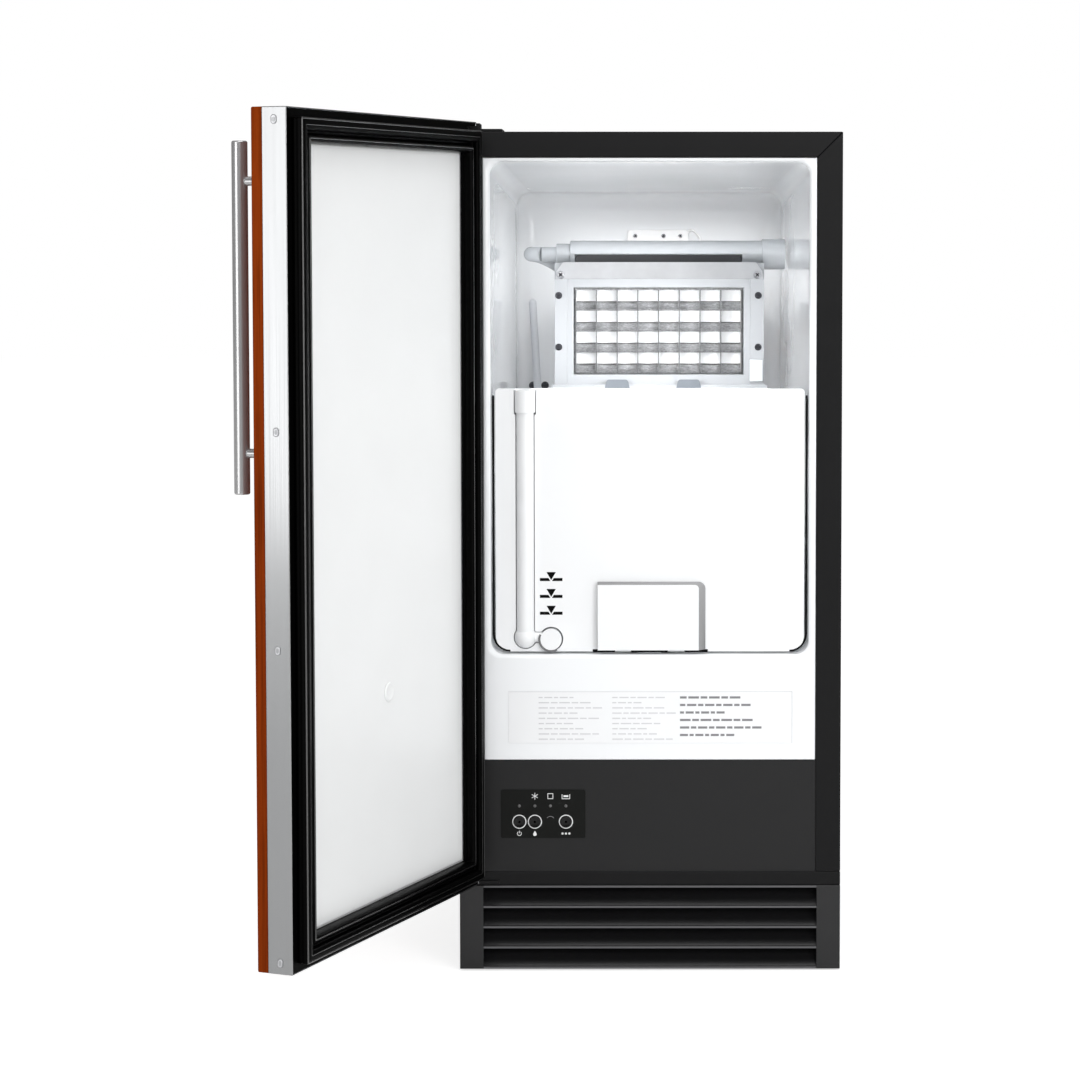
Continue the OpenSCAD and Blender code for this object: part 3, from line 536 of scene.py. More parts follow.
def pan_screw(name, centre, axis, r, material, body):
    """Pan-head screw with a cross recess drawn as dark bars of painted shade, its head's underside at
    centre.
    """
    out = Vector(axis).normalized()
    dome = [(r, 0), (r, 0.25 * r), (0.93 * r, 0.4 * r), (0.75 * r, 0.52 * r), (0.42 * r, 0.6 * r),
            (0.40 * r, 0.42 * r), (0.1 * r, 0.3 * r)]
    head = turned(name, dome, centre, out, material, body, 28)
    u = out.orthogonal().normalized()
    v = out.cross(u)
    # Dark bars on the head: painted shade for the cross recess
    recess_shades = []
    half, thick = 0.62 * r, 0.11 * r
    for i, (way, across) in enumerate(((u, v), (v, u))):
        verts = [Vector(centre) + out * rise * r + way * a * half * taper + across * b * thick
                 for rise, taper in ((0.55, 1), (0.6, 0.9))
                 for a, b in ((-1, -1), (1, -1), (1, 1), (-1, 1))]
        faces = [(0, 1, 2, 3), (4, 5, 6, 7), (0, 1, 5, 4), (1, 2, 6, 5), (2, 3, 7, 6), (3, 0, 4, 7)]
        recess_shades.append(piece(f"{name}_recess_{i}", verts, faces, DARK_STEEL_AND_RECESS_SHADE, body))
    return joined(name, [head] + recess_shades)


# ---------- Cabinet ----------

GRILLE_GAP = 0.0004                     # play between the grille and the rail above it


def cabinet_shell():
    dress("outer_case", BLACK_CASE, 0.0006)
    dress("back_panel", BLACK_CASE, 0.0003)
    dress("base_pan", ZINC, 0.0005)
    for bar in ("trim_top", "trim_left", "trim_right"):
        dress(bar, BLACK_TRIM, 0.0011, 3)
    dress("lower_rail", BLACK_TRIM, 0.001, 3)
    dress("kick_grille", GRILLE, 0.0009, 3)
    # Painted highlight: light grey strips along the lips of the louvre blades and of the bar above them,
    # where light catches their edges
    low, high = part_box("kick_grille")
    count, upright, top_bar, inset, highlight_band = 4, 0.0236, 0.003, 0.0004, 0.0017
    lip_x = HALF_W - upright
    pitch = (high.z + GRILLE_GAP - low.z - top_bar) / count
    feet = [low.z + i * pitch + inset for i in range(count)] + [high.z - inset - highlight_band]
    lips = [(z, z + highlight_band) for z in feet]
    joined("louvre_lip_highlights", [slab(f"louvre_lip_highlight_{i}", (-lip_x, lip_x), (FRONT - 0.0002, FRONT + 0.0006), z,
                                 GRILLE_LIP_HIGHLIGHT, "cabinet", "black_plastic", 0, 0.0006)
                            for i, z in enumerate(lips)])
    dress("fascia", FASCIA, 0.0004)
    dress("hinge_brackets", BLACK_TRIM, 0.0004)
    for end in ("front", "rear"):
        for side in ("left", "right"):
            dress(f"foot_{end}_{side}", RUBBER, 0.0008)


def back_details():
    """Hoods over the back's louvres, the screws around its edge, and a blank plate."""
    hoods = []
    z0, z1, pitch, depth = 0.120, 0.125, 0.012, 0.0045
    for x in (-0.074, 0.008):
        for row in range(12):
            low, high = z0 + row * pitch, z1 + row * pitch
            outline = [(BACK - 0.0004, high + 0.002), (BACK + 0.4 * depth, high + 0.0015),
                       (BACK + depth, low + 0.0006), (BACK + depth - 0.0008, low),
                       (BACK + 0.3 * depth, high - 0.0002), (BACK - 0.0004, high + 0.0006)]
            loops = [[(px, y, z) for y, z in outline] for px in (x + 0.001, x + 0.065)]
            hoods.append(loft(f"hood_{x}_{row}", loops, BLACK_CASE, "cabinet"))
    hood = joined("back_louvre_hoods", hoods)
    hood.modifiers.clear()
    weld_and_round(hood, 0.0002)
    margin, screw_r = 0.010, 0.0042
    places = [(side * (HALF_W - margin), z) for z in (0.035, 0.235, 0.435, 0.635, 0.815)
              for side in (-1, 1)]
    places += [(x, TOP - margin) for x in (-0.1, 0.0, 0.1)]
    joined("back_screws", [pan_screw(f"back_screw_{i}", (x, BACK, z), (0, 1, 0), screw_r, ZINC,
                                     "cabinet") for i, (x, z) in enumerate(places)])
    slab("back_plate", (-0.15, -0.05), (BACK, BACK + 0.0006), (0.60, 0.66), LABEL, "cabinet",
         "label_film", 0.0002, 0.003)
    thread = [(0.0132 + (0.0005 if i % 2 else -0.0004), i * 0.0011) for i in range(11)]
    turned("inlet_thread", [(0.0128, -0.0004)] + thread + [(0.0122, 0.0126), (0.0098, 0.0127),
           (0.0095, 0.002), (0.004, 0.0018)], (0.118, BACK + 0.001, 0.070), (0, 1, 0), ZINC,
           "cabinet", 48)
    turned("inlet_lock_nut", [(0.0132, 0), (0.0165, 0), (0.0168, 0.0012), (0.0168, 0.0028),
           (0.0158, 0.0034), (0.0134, 0.0034)], (0.118, BACK, 0.070), (0, 1, 0), ZINC, "cabinet",
           6)


def machine_room():
    dress("compressor", COMPRESSOR, 0.0012, 2, 30)
    dress("compressor_mounts", RUBBER, 0.001)
    dress("condenser", FINS)
    dress("fan_shroud", GRILLE, 0.0005)
    dress("fan_motor", ZINC, 0.0006)
    dress("fan_blade", ZINC, 0.0003)
    dress("filter_drier", COPPER, 0.0015)
    dress("refrigerant_lines", COPPER)
    dress("water_inlet_valve", WHITE, 0.0006)
    dress("power_gland", RUBBER, 0.0008)
    dress("insulation", FOAM)


# ---------- Controls ----------


def controls():
    dress("control_overlay", OVERLAY)
    dress("control_board", BOARD)
    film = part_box("control_overlay")[0].y
    print_y = (film - 0.00012, film + 0.0001)
    prints = []
    ring_in, ring_out, lamp_pitch = 0.0061, 0.0070, 0.0154
    for name in ("button_power", "button_clean", "button_mode"):
        dress(name, BUTTON, 0.0008, 3)
        low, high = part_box(name)
        x, z = (low.x + high.x) / 2, (low.z + high.z) / 2
        prints.append(flat_ring(f"{name}_ring", (x, z), ring_in, ring_out, print_y, PRINT_WHITE,
                                "cabinet"))
        cap = (high.x - low.x) / 2
        turned(f"{name}_dish", [(cap * 0.96, 0.0), (cap * 0.97, 0.0003), (cap * 0.92, 0.00055),
               (cap * 0.82, 0.0005), (cap * 0.6, 0.0002), (cap * 0.2, 0.0001)],
               (x, low.y + 0.0001, z), (0, -1, 0), BUTTON, name)
    lamps = [-0.1296 + lamp_pitch * i for i in range(4)]
    row_z = 0.1657
    for i, x in enumerate(lamps):
        turned(f"lamp_lens_{i}", [(0.0016, 0.0), (0.0016, 0.0002), (0.0012, 0.0005), (0.0003, 0.0006)],
               (x, film + 0.0001, row_z), (0, -1, 0), LAMP, "cabinet", 24)
    # Generic signs in place of wording: a snowflake, a cube and a full tray over the lamps
    def sign(name, outline):
        prints.append(printed(name, outline, print_y, PRINT_WHITE))

    def bar(name, x, z, half, thick):
        sign(name, [(x - half, z - thick), (x + half, z - thick), (x + half, z + thick),
                    (x - half, z + thick)])

    def ring(name, x, z, inner, outer, start=0, sweep=360):
        prints.append(flat_ring(name, (x, z), inner, outer, print_y, PRINT_WHITE, "cabinet",
                                24, start, sweep))

    sign_z = row_z + 0.0098
    for k in range(3):
        a = math.radians(60 * k + 30)
        dx, dz = 0.0034 * math.cos(a), 0.0034 * math.sin(a)
        nx, nz = -0.00028 * math.sin(a), 0.00028 * math.cos(a)
        x, z = lamps[1], sign_z
        sign(f"sign_flake_{k}", [(x - dx - nx, z - dz - nz), (x + dx - nx, z + dz - nz),
                                 (x + dx + nx, z + dz + nz), (x - dx + nx, z - dz + nz)])
    cube = 0.0025
    for side in (-1, 1):
        bar(f"sign_cube_flat_{side + 1}", lamps[2], sign_z + side * cube, cube + 0.0003, 0.0003)
        bar(f"sign_cube_wall_{side + 1}", lamps[2] + side * cube, sign_z, 0.0003, cube - 0.0004)
        bar(f"sign_tray_wall_{side + 1}", lamps[3] + side * 0.0038, sign_z - 0.0004, 0.0003, 0.0022)
    for j, half in enumerate((0.0040, 0.0024)):
        bar(f"sign_tray_{j}", lamps[3], sign_z - 0.0026 + j * 0.0026, half, 0.0003 + 0.0006 * j)
    under = 0.1380
    ring("sign_power_ring", lamps[0], under, 0.0017, 0.0023, 125, 290)
    bar("sign_power_bar", lamps[0], under + 0.0016, 0.0003, 0.0012)
    x = lamps[1]
    sign("sign_drop", [(x, under + 0.0028), (x - 0.0012, under + 0.0008), (x - 0.0018, under - 0.0008),
                       (x - 0.0013, under - 0.0020), (x, under - 0.0025), (x + 0.0013, under - 0.0020),
                       (x + 0.0018, under - 0.0008), (x + 0.0012, under + 0.0008)])
    for k in (-1, 0, 1):
        ring(f"sign_mode_{k + 1}", lamps[3] + 0.0034 * k, under, 0.0002, 0.0011)
    prints.append(flat_ring("sign_arc", (lamps[2], 0.1510), 0.0040, 0.0045, print_y, PRINT_GREY,
                            "cabinet", 36, 35, 110))
    joined("overlay_print", prints)


def label():
    """A blank plate on the apron: no wording, only plain dashes in columns."""
    dress("rating_label", LABEL, 0.0003)
    low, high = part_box("rating_label")
    y = (low.y - 0.0001, low.y + 0.0001)
    lines = []
    # Columns of short dashes where wording would stand: left edge, width, rows, pitch, thickness
    columns = [(low.x + 0.030, 0.058, 9, 0.0052, 0.0006, PRINT_FAINT),
               (low.x + 0.103, 0.055, 9, 0.0052, 0.0006, PRINT_FAINT),
               (low.x + 0.170, 0.080, 6, 0.0075, 0.0011, PRINT_GREY)]
    for i, (left, width, rows, pitch, thick, ink) in enumerate(columns):
        for k in range(rows):
            z = high.z - 0.006 - k * pitch
            at, step = left, 0
            while at < left + width * (0.55 + 0.45 * ((k * 7 + i * 3) % 5) / 4):
                dash = 0.004 + 0.0013 * ((k * 5 + step * 3 + i) % 6)
                outline = [(at, z - thick), (at + dash, z - thick), (at + dash, z + thick),
                           (at, z + thick)]
                lines.append(printed(f"label_dash_{i}_{k}_{step}", outline, y, ink))
                at += dash + 0.0017
                step += 1
    joined("label_dashes", lines)
    # Painted shade: faint grey lines along the label's top and right edges, for the shade at its edges
    edge_shade_lines = [[(low.x, high.z - 0.0005), (high.x, high.z - 0.0005), (high.x, high.z), (low.x, high.z)],
            [(high.x - 0.0006, low.z), (high.x, low.z), (high.x, high.z), (high.x - 0.0006, high.z)]]
    joined("label_edge_shade", [printed(f"label_edge_shade_{i}", rim, y, PRINT_FAINT) for i, rim in enumerate(edge_shade_lines)])


# ---------- Ice compartment ----------

MOUTH_HALF, MOUTH_LOW, MOUTH_HIGH, MOUTH_R = 0.157, 0.3168, 0.8025, 0.013
ROOM_BACK_HALF, ROOM_BACK_LOW, ROOM_BACK_HIGH = 0.150, 0.3198, 0.7777
ROOM_DEPTH, ROOM_BLEND, LINER_T = 0.480, 0.022, 0.003


def liner():
    """One moulded skin: the flange and apron, the rolled mouth, the room and its round corners."""
    face, roll, trim, steps = liner_low.y, 0.0045, 0.0006, 6

    def room_loop(share, grow, inset=0.0, y=None):
        half = MOUTH_HALF + (ROOM_BACK_HALF - MOUTH_HALF) * share - inset + grow
        low = MOUTH_LOW + (ROOM_BACK_LOW - MOUTH_LOW) * share + inset - grow
        high = MOUTH_HIGH + (ROOM_BACK_HIGH - MOUTH_HIGH) * share - inset + grow
        r = MOUTH_R + 0.004 * share + grow + inset * 0.3
        depth = FRONT + ROOM_DEPTH * share if y is None else y
        return rounded_loop((-half, half), (low, high), depth, r, 10)

    def flange(inset, y):
        return framed_loop(liner_low, liner_high, inset, y, 0.001, 10)

    quarter = [math.radians(90 * i / steps) for i in range(steps + 1)]
    blend = [(ROOM_BLEND * (1 - math.cos(a)), -ROOM_BLEND * (1 - math.sin(a))) for a in quarter]
    back = FRONT + ROOM_DEPTH
    share_back = 1 - ROOM_BLEND / ROOM_DEPTH
    # Outside, from the back to the flange
    loops = [room_loop(1.0, LINER_T, inset, back + dy + LINER_T) for inset, dy in reversed(blend)]
    loops += [room_loop(share_back, LINER_T), room_loop(0.012, LINER_T)]
    loops += [flange(0, face + LINER_T), flange(0, face + trim), flange(trim, face)]
    # The rolled mouth
    for a in (math.radians(90 * i / 5) for i in range(6)):
        loops.append(room_loop(0.0, 0, -roll * (1 - math.sin(a)), face + roll * (1 - math.cos(a))))
    # Inside, from the mouth to the back
    loops += [room_loop(share, 0) for share in (0.04, 0.12, 0.25, 0.45, 0.65, 0.82, share_back)]
    loops += [room_loop(1.0, 0, inset, back + dy) for inset, dy in blend[1:]]
    obj = loft("compartment_liner", loops, LINER, "cabinet")
    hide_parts("liner")


def bin_parts():
    dress("bin_front", PANEL, 0.0012, 3)
    dress("bin_floor", WHITE, 0.0006)
    dress("drain_socket", PANEL, 0.0008)
    dress("drain_tube", PANEL, 0.0008)
    dress("water_pump", PUMP, 0.0008)
    dress("pump_impeller", WHITE, 0.0003)
    marks = []
    centre, top_mark, pitch, thick = -0.0979, 0.3902, 0.0168, 0.0015
    y = (bin_low.y - 0.00015, bin_low.y + 0.0001)
    for i in range(3):
        bar_z = top_mark - i * pitch
        wedge = [(centre, bar_z - 0.0005), (centre + 0.0046, bar_z + 0.0074),
                 (centre - 0.0046, bar_z + 0.0074)]
        marks.append(printed(f"mark_wedge_{i}", wedge, y, PRINT_BLACK))
        for side in (-1, 1):
            bar = [(centre + side * dx, bar_z + dz) for dx, dz in
                   ((0.0008, -thick), (0.0112, -thick), (0.0112, thick), (0.0027, thick))]
            marks.append(printed(f"mark_bar_{i}_{side + 1}", bar[::side], y, PRINT_BLACK))
    joined("water_level_marks", marks)
    # Painted shade: thin black strips in the gap between the panel and the mouth of the compartment, down
    # both sides
    shade_tubes = []
    shade_x, shade_r, shade_y, foot = 0.1549, 0.0165, bin_low.y + 0.0008, 0.3192
    for side in (-1, 1):
        bend = [(side * (shade_x - shade_r * (1 - math.cos(math.radians(a)))), shade_y,
                 foot + shade_r * (1 - math.sin(math.radians(a)))) for a in range(0, 91, 15)]
        path = [(side * shade_x, shade_y, 0.573), (side * shade_x, shade_y, 0.45)] + bend
        shade_tubes.append(tube(f"bin_gap_shade_{side + 1}", path, 0.0012, GAP_SHADE, "cabinet", 12, 1))
    joined("bin_gap_shades", shade_tubes)
    # Painted shade: dark plates behind the three intake slots under the pump cover
    joined("intake_slot_shades", [slab(f"intake_slot_shade_{i}", x, (bin_low.y + 0.0012, bin_low.y + 0.003),
                                   (0.3174, 0.3206), GAP_SHADE, "cabinet", "gasket_rubber", 0)
                              for i, x in enumerate(((-0.0569, -0.0345), (-0.0188, 0.0177),
                                                     (0.0341, 0.0575)))])
    # Painted shadow: a dark grey crescent round the left and bottom of the drain socket
    flat_ring("drain_socket_shadow", (-0.098, 0.331), 0.0106, 0.0126,
              (bin_low.y - 0.0052, bin_low.y - 0.0046), SOCKET_SHADOW_GREY, "cabinet", 48, 155, 145)


def cover_loop(x, z, y, corner):
    """Outline of the pump cover at one depth: square, with a round top right corner."""
    turn = arc(x[1] - corner, z[1] - corner, corner, range(0, 91, 10))
    return [(px, y, pz) for px, pz in [(x[0], z[0]), (x[1], z[0])] + turn + [(x[0], z[1])]]


def pump_cover():
    """Raised cover at the foot of the bin front, with a broad flank above and to the right painted grey as
    shade.
    """
    low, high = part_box("pump_cover")
    face, rise, bite, corner, face_corner = 0.0066, 0.0022, 0.0005, 0.007, 0.004
    wide, tall = (low.x, high.x), (low.z, high.z)
    face_x, face_z = (low.x + 0.0002, high.x - face), (low.z, high.z - rise)
    shade_band_loops = [cover_loop(wide, tall, high.y - 0.0002, corner),
             cover_loop(wide, tall, high.y - 0.0012, corner),
             cover_loop((low.x + 0.0004, high.x - face), face_z, low.y + 0.0010, face_corner)]
    loft("pump_cover_shade_band", shade_band_loops, SHADE, "cabinet")
    plate = [cover_loop(face_x, face_z, low.y + 0.0011, face_corner),
             cover_loop(face_x, face_z, low.y + bite, face_corner),
             cover_loop((low.x + 0.0006, high.x - face - bite), (low.z, high.z - rise - bite), low.y,
                        0.0036)]
    obj = loft("pump_cover_face", plate, PANEL, "cabinet")
    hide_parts("pump_cover")


def evaporator():
    tube_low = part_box("distribution_tube")[0]
    dress("evaporator_grid", CELLS)
    dress("evaporator_frame", FRAME, 0.0009, 3)
    dress("evaporator_top_bar", LIP, 0.0007, 2)
    dress("evaporator_coil", COPPER)
    dress("water_trough", FRAME, 0.0006)
    dress("sensor_bracket", BRIGHT, 0.001, 3)
    dress("ice_level_probe", WHITE, 0.0004)
    dress("thermistor_clip", CLEAR, 0.0012, 3)
    dress("distribution_tube", CLEAR, 0.0006)
    dress("tube_fittings", CLEAR, 0.0010, 3)
    heads = []
    wall = FRONT + ROOM_DEPTH - 0.01
    for i, box in enumerate(solids("evaporator_screws")):
        c = middle(box)
        in_wall = box[1].y > wall
        on_bar = box[0].y < evap_low.y - 0.002
        seat = box[1].y if in_wall else box[0].y + 0.0016
        r = 0.0044 if in_wall or on_bar else 0.0038
        heads.append(pan_screw(f"evaporator_screw_{i}", (c.x, seat, c.z), (0, -1, 0), r,
                               BRIGHT_SCREW if on_bar else DARK_STEEL_AND_RECESS_SHADE, "cabinet"))
    heads_obj = joined("evaporator_screw_heads", heads)
    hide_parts("evaporator_screws")
    for i, x in enumerate((-0.0345, 0.0430)):
        half, base, top, r = 0.0144, 0.5610, 0.5746, 0.003
        outline = [(x - half, base), (x + half, base), (x + half - 0.0022, top - r)]
        outline += arc(x + half - 0.0025 - r, top - r, r, range(15, 91, 15))
        outline += [(2 * x - px, pz) for px, pz in reversed(outline[2:])]
        upright_plate(f"trough_tab_{i}", outline, (evap_low.y - 0.0125, evap_low.y - 0.0109), TAB,
                      "cabinet", 0.0004)
    # Painted shade: a dark plate inside the tube, seen through its long opening, for the shade in its bore
    left, right, low, high, r = -0.0810, 0.1018, 0.7005, 0.7092, 0.004
    round_top = (arc(right - r, high - r, r, range(0, 91, 15))
                 + arc(left + r, high - r, r, range(90, 181, 15)))
    bore = tube_low.y + 0.0025
    upright_plate("distribution_tube_shade", [(left, low), (right, low)] + round_top,
                  (bore, bore + 0.0008), SHADOW, "cabinet", 0)
    # Painted light: a bright white sheet over the backs of the tinned cells, for the light they reflect
    slab("cell_back_painted_light", (grid_low.x + 0.0035, grid_high.x - 0.0035),
         (grid_high.y - 0.0026, grid_high.y - 0.0021), (grid_low.z + 0.003, grid_high.z - 0.003),
         CELL_BACK_LIGHT, "cabinet", "white_panel", 0)
    # Painted shade: dark lines along the front edges of the cell walls and shelves, and where a shelf
    # meets the back of its cell
    cols, rows, side, foot, wall_t, slope = 8, 4, 0.003, 0.002, 0.0012, 21
    left, right = grid_low.x + side, grid_high.x - side
    floor, roof = grid_low.z + foot, grid_high.z - foot
    front, back = grid_low.y, grid_high.y - 0.0029
    drop = (back - front) * math.tan(math.radians(slope)) + wall_t
    edges = []
    for i in range(cols + 1):
        x = left + (right - left) * i / cols
        edges.append(((x - 0.0004, x + 0.0004), front, (floor, roof)))
    for i in range(rows):
        z = floor + (roof - floor) * i / rows
        edges.append(((left, right), front, (z + 0.0002, z + 0.0009)))
        edges.append(((left, right), back, (z + drop - 0.0002, z + drop + 0.0006)))
    joined("cell_shade_lines", [slab(f"cell_shade_line_{i}", x, (y - 0.0002, y + 0.0002), z, CELL_SHADE_LINE, "cabinet",
                               "cell_metal", 0, 0.0) for i, (x, y, z) in enumerate(edges)])


def hoses():
    """Riser hose with its moulded elbow, the sensor's lead, and the screws of its bracket."""
    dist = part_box("distribution_tube")
    ty, tz = (dist[0].y + dist[1].y) / 2, (dist[0].z + dist[1].z) / 2
    pump_y, outlet_z = FRONT + 0.078, 0.347
    back = FRONT + 0.372
    route = [(-0.058, pump_y, outlet_z), (-0.072, pump_y + 0.016, 0.346),
             (-0.080, pump_y + 0.060, 0.346), (-0.080, FRONT + 0.344, 0.346),
             (-0.080, FRONT + 0.364, 0.354), (-0.080, back, 0.376), (-0.080, back, 0.520),
             (-0.080, back, 0.660), (-0.085, back + 0.001, 0.680), (-0.100, back + 0.001, 0.697),
             (-0.118, FRONT + 0.369, 0.707), (-0.129, FRONT + 0.360, tz),
             (-0.1285, ty + 0.005, tz), (-0.118, ty, tz)]
    hose = tube("riser_hose_tube", route, 0.008, CLEAR, "cabinet", 24, 8)
    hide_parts("riser_hose")
    bracket_low, bracket_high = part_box("sensor_bracket")
    y = bracket_low.y
    for i, x in enumerate((-0.0152, 0.0170, 0.0363)):
        pan_screw(f"bracket_screw_{i}", (x, y, bracket_high.z - 0.007), (0, -1, 0), 0.0024,
                  BRIGHT_SCREW, "cabinet")
    lead = [(0.0440, y + 0.002, 0.7330), (0.0475, y + 0.001, 0.7365), (0.0520, y + 0.0015, 0.7355),
            (0.0580, y + 0.002, 0.7290), (0.0600, y + 0.0025, 0.7200), (0.0600, y + 0.003, 0.7050)]
    tube("sensor_lead", lead, 0.0013, BRIGHT, "cabinet", 12, 6)


# ---------- Door ----------


def door_parts():
    dress("door_inner_frame", INNER_FRAME, 0.0006)
    dress("door_insulation", FOAM)
    dress("hinge_bushes", NYLON, 0.0004)
    # Aluminium edge: CAD shape with a fine round, as an extruded section has
    dress("door_edge_frame", EDGE, 0.0007, 3)
    heads = []
    for i, box in enumerate(solids("door_edge_screws", swing=True)):
        c = middle(box)
        for part, material, steps in (
                ("rim", ZINC, ((0.0027, 0.0040, 0.0), (0.0027, 0.0040, 0.0005), (0.0024, 0.0037, 0.0008),
                               (0.0021, 0.0034, 0.0008))),
                ("cap", BRIGHT_SCREW, ((0.0022, 0.0035, 0.0004), (0.0021, 0.0034, 0.0009),
                                       (0.0017, 0.0030, 0.0010), (0.0008, 0.0018, 0.0006)))):
            loops = []
            for half_y, half_z, h in steps:
                turn = [math.radians(a) for a in range(0, 360, 10)]
                loops.append([(edge_high.x + h, c.y + half_y * math.cos(a),
                               c.z + (half_z - half_y) * (1 if math.sin(a) > 0 else -1)
                               + half_y * math.sin(a)) for a in turn])
            heads.append(loft(f"edge_screw_{part}_{i}", loops, material, "door"))
    obj = joined("edge_screw_heads", heads)
    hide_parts("door_edge_screws")
    # Black cap over the top hinge arm, in the space between the door and the cabinet
    slab("hinge_cover", (-0.1888, -0.1650), (FRONT - 0.0095, FRONT + 0.010), (0.8322, 0.8398),
         BLACK_TRIM, "cabinet", "black_plastic", 0.0006, 0.0015)
    # Black lining of the slot that the top hinge arm swings through
    x, z = (edge_low.x + 0.0002, edge_low.x + 0.0218), (0.8313, 0.8363)
    y = (edge_low.y + 0.0010, DOOR_IN - 0.0002)
    linings = ((x, (y[0], y[0] + 0.0004), z), (x, y, (0.8312, 0.8314)),
               ((x[1] - 0.0003, x[1] + 0.0001), y, z))
    joined("hinge_slot_lining", [slab(f"slot_{i}", *sides, INNER_FRAME, "door", "black_plastic", 0, 0.0)
                                 for i, sides in enumerate(linings)])


def wood_panel():
    """Solid wood front with a softly rounded arris."""
    arris, corner, back_arris = 0.0012, 0.0012, 0.0004

    def ring(inset, y, r):
        return framed_loop(wood_low, wood_high, inset, y, r, 4)

    loops = [ring(arris, wood_low.y, 0.0015)]
    for a in (math.radians(30), math.radians(60), math.radians(90)):
        loops.append(ring(arris * (1 - math.sin(a)), wood_low.y + arris * (1 - math.cos(a)), corner))
    loops += [ring(0, wood_high.y - back_arris, corner), ring(back_arris, wood_high.y, 0.0010)]
    obj = loft("wood_front", loops, WOOD, "door")
    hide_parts("door_panel")


def inset_loop(inset, height, r, turns):
    """A loop set in from the door's edges, at a height above its inner face."""
    return framed_loop(edge_low, edge_high, inset, DOOR_IN + height, r, turns)


def gasket():
    """Magnetic gasket: a tall bead outside, a groove, and a rolled lip inside."""
    section = [(0.0090, 0.0), (0.0087, 0.0030), (0.0094, 0.0042), (0.0088, 0.0056), (0.0087, 0.0088),
               (0.0095, 0.0103), (0.0112, 0.0110), (0.0150, 0.0110), (0.0180, 0.0106),
               (0.0194, 0.0094), (0.0196, 0.0074), (0.0188, 0.0056), (0.0196, 0.0042),
               (0.0214, 0.0034), (0.0228, 0.0040), (0.0233, 0.0056), (0.0236, 0.0074),
               (0.0248, 0.0087), (0.0268, 0.0090), (0.0286, 0.0083), (0.0296, 0.0066),
               (0.0299, 0.0040), (0.0300, 0.0)]
    loops = [inset_loop(e, h, 0.0012, 3) for e, h in section]
    obj = loft("door_gasket_vinyl", loops, GASKET, "door", ring=True)
    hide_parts("door_gasket")
    # Polished rolls along the gasket's crests
    for i, (e, h, r) in enumerate(((0.0098, 0.0100, 0.0009), (0.0150, 0.0106, 0.0005),
                                   (0.0262, 0.0082, 0.0010))):
        rings = [inset_loop(e - r * math.cos(math.radians(a)), h + r * math.sin(math.radians(a)),
                            0.0012, 3) for a in range(0, 360, 45)]
        loft(f"gasket_roll_{i}", rings, GASKET_ROLL, "door", ring=True)


def door_liner():
    """Moulded inner panel: a low rim inside the black frame, then the flat field and its plug."""
    field = shut_box("door_liner")[1].y - DOOR_IN - 0.0016
    # Inset from the door's edges, height against the field, and corner radius
    profile = ((0.0145, -0.002, 0.002), (0.0145, -0.0012, 0.002), (0.0300, -0.0012, 0.002),
               (0.0304, -0.0005, 0.002), (0.0311, -0.0001, 0.002), (0.0322, 0, 0.0025), (0.0500, 0, 0.003))
    loops = [inset_loop(inset, field + rise, r, 6) for inset, rise, r in profile]
    obj = loft("door_liner_panel", loops, DOOR_LINER, "door")
    turned("door_liner_plug", [(0.0092, 0.0), (0.0092, 0.0006), (0.0086, 0.0013),
           (0.0074, 0.0016), (0.0062, 0.0012), (0.0048, 0.0008), (0.0020, 0.0006)],
           (-0.003, DOOR_IN + field, 0.311), (0, 1, 0), DOOR_LINER, "door")
    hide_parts("door_liner")


def handle():
    """Stainless bar with chamfered ends, on two turned posts with flanges."""
    low, high = shut_box("handle")
    r = 0.007
    x, y = (low.x + high.x) / 2, low.y + r
    length = high.z - low.z
    bar = turned("handle_bar", [(0.0052, 0), (0.0060, 0.0001), (0.0066, 0.0006), (r, 0.0014),
                 (r, length * 0.25), (r, length * 0.5), (r, length * 0.75),
                 (r, length - 0.0014), (0.0066, length - 0.0006), (0.0060, length - 0.0001),
                 (0.0052, length)], (x, y, low.z), (0, 0, 1), STEEL, "door", 64)
    reach = wood_low.y - y
    for i, z in enumerate((0.5404, 0.7778)):
        turned(f"handle_post_{i}", [(0.0035, 0.004), (0.0041, 0.0075), (0.0041, reach * 0.6),
               (0.0041, reach - 0.0034), (0.0046, reach - 0.0028), (0.0060, reach - 0.0022),
               (0.0062, reach - 0.0012), (0.0062, reach - 0.0002), (0.0058, reach)], (x, y, z),
               (0, 1, 0), STEEL, "door")
    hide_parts("handle")


# ---------- Stage, lights and camera ----------


def stage():
    """Pale floor, lifted to white only where the camera looks straight at it."""
    look = Look("floor", (0.88, 0.88, 0.88), 0.6, specular=0.25)
    look.tint(look.noise(3, detail=3), 0.01)
    glow = look.add("ShaderNodeEmission", Strength=0.62)
    both = look.add("ShaderNodeAddShader")
    plain = look.add("ShaderNodeMixShader")
    look.link(look.shader.outputs[0], both.inputs[0])
    look.link(glow.outputs[0], both.inputs[1])
    look.link(look.add("ShaderNodeLightPath").outputs["Is Camera Ray"], plain.inputs[0])
    look.link(look.shader.outputs[0], plain.inputs[1])
    look.link(both.outputs[0], plain.inputs[2])
    out = next(n for n in look.tree.nodes if n.type == "OUTPUT_MATERIAL")
    look.link(plain.outputs[0], out.inputs["Surface"])
    mesh = bpy.data.meshes.new("floor")
    half = 14
    square = [(a * half, b * half, 0) for a, b in ((-1, -1), (1, -1), (1, 1), (-1, 1))]
    mesh.from_pydata(square, [], [(0, 1, 2, 3)])
    floor = bpy.data.objects.new("floor", mesh)
    floor.data.materials.append(look.mat)
    scene.collection.objects.link(floor)


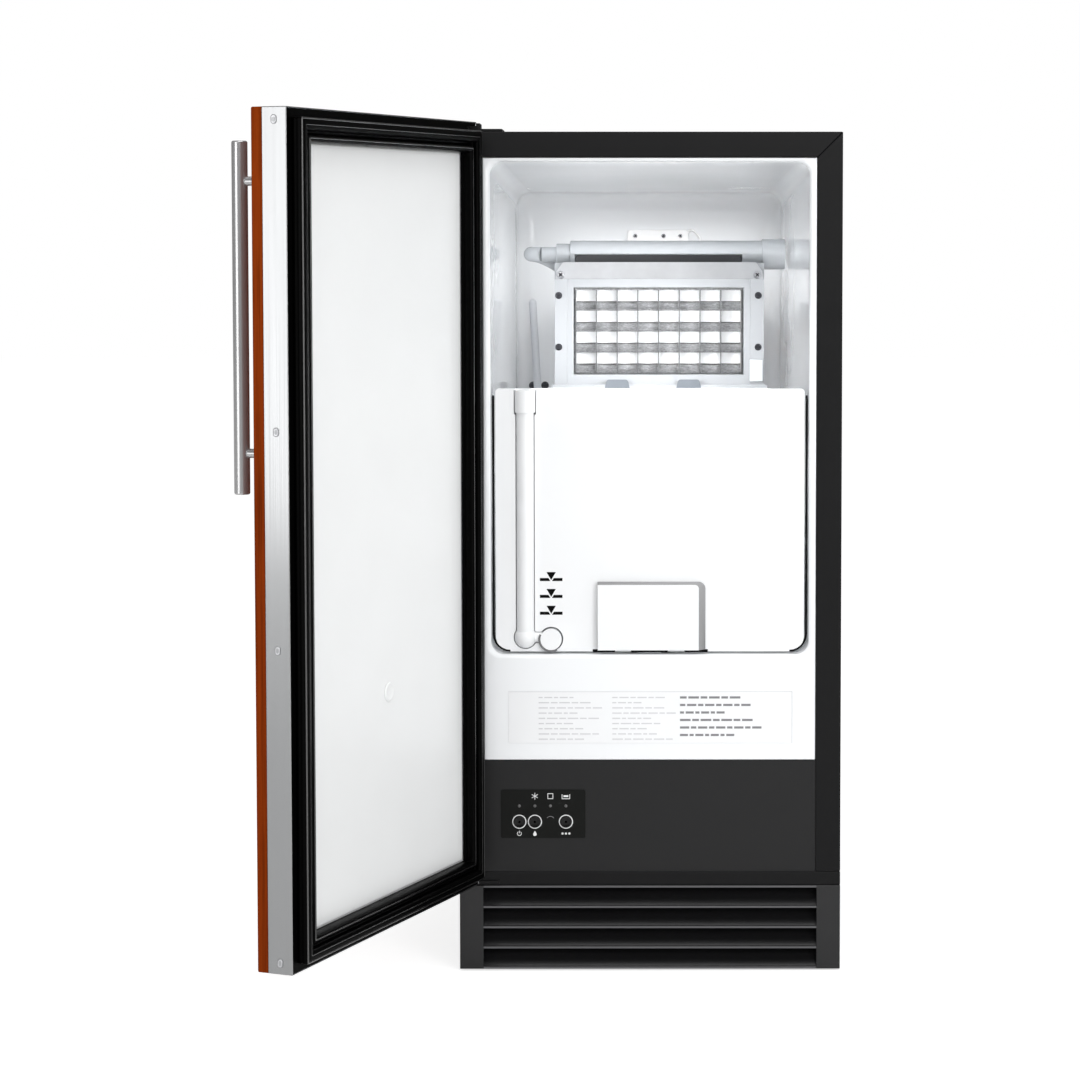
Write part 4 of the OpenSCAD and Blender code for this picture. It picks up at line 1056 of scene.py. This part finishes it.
def softbox(name, place, aim, size, power):
    """A rectangular area light that faces a point."""
    data = bpy.data.lights.new(name, "AREA")
    data.shape = "RECTANGLE"
    data.size, data.size_y = size
    data.energy = power
    lamp = bpy.data.objects.new(name, data)
    lamp.location = place
    way = Vector(aim) - Vector(place)
    lamp.rotation_euler = way.to_track_quat("-Z", "Y").to_euler()
    scene.collection.objects.link(lamp)
    return lamp


def lighting():
    world = bpy.data.worlds.new("studio")
    scene.world = world
    world.use_nodes = True
    tree = world.node_tree
    tree.nodes.clear()
    path = tree.nodes.new("ShaderNodeLightPath")

    def glow(strength):
        node = tree.nodes.new("ShaderNodeBackground")
        node.inputs["Color"].default_value = (1, 1, 1, 1)
        node.inputs["Strength"].default_value = strength
        return node.outputs["Background"]

    def choose(ray, other, chosen):
        node = tree.nodes.new("ShaderNodeMixShader")
        tree.links.new(path.outputs[ray], node.inputs["Fac"])
        tree.links.new(other, node.inputs[1])
        tree.links.new(chosen, node.inputs[2])
        return node.outputs["Shader"]

    # White for the camera, dimmer in reflections, so that black rubber stays black
    sky = choose("Is Camera Ray", choose("Is Glossy Ray", glow(0.48), glow(0.2)), glow(1.0))
    tree.links.new(sky, tree.nodes.new("ShaderNodeOutputWorld").inputs["Surface"])
    middle_of_room = (0, -0.1, 0.55)
    softbox("right", (1.45, -3.1, 1.1), middle_of_room, (1.1, 1.8), 32)
    softbox("over", (0.0, -3.3, 1.75), middle_of_room, (1.8, 0.9), 18)
    softbox("left", (-2.7, -3.0, 0.75), middle_of_room, (1.6, 1.3), 17)
    softbox("top", (0.2, -1.3, 3.2), (0, -0.4, 0.3), (2.2, 1.4), 32)
    # Soft light at the mouth of the compartment and behind the evaporator, so that the back of the
    # compartment is as bright as its front
    mouth_y, rear_y = FRONT + 0.012, FRONT + 0.37
    for name, place, aim, size, power in (
            ("from_left", (-0.11, mouth_y, 0.61), (0.157, mouth_y + 0.24, 0.55), (0.06, 0.05), 0.28),
            ("from_right", (0.11, mouth_y, 0.61), (-0.157, mouth_y + 0.24, 0.55), (0.06, 0.05), 0.27),
            ("cells", (0.01, mouth_y, 0.63), (0.01, mouth_y + 0.4, 0.63), (0.24, 0.08), 0.12),
            ("behind", (0.01, rear_y, 0.742), (0.01, rear_y + 0.11, 0.66), (0.26, 0.03), 0.115)):
        lamp = softbox(name, place, aim, size, power)
        lamp.data.spread = math.radians(60 if name == "cells" else 105)
        lamp.visible_camera = False
        lamp.visible_glossy = False


def camera():
    """A long lens well in front, a little below the cabinet's top, tipped down by a few degrees."""
    data = bpy.data.cameras.new("camera")
    data.sensor_width = 36
    data.lens = 96.02
    data.shift_x, data.shift_y = -0.1, -0.12
    data.clip_end = 60
    cam = bpy.data.objects.new("camera", data)
    cam.location = (-0.0093, -3.1056, 0.7311)
    tip, turn = math.radians(3.485), math.radians(0.149)
    cam.rotation_euler = (math.pi / 2 - tip, 0, -turn)
    scene.collection.objects.link(cam)
    scene.camera = cam
    scene.view_settings.view_transform = "Standard"


camera()
lighting()
stage()
cabinet_shell()
back_details()
machine_room()
controls()
label()
liner()
bin_parts()
pump_cover()
evaporator()
hoses()
door_parts()
wood_panel()
gasket()
door_liner()
handle()
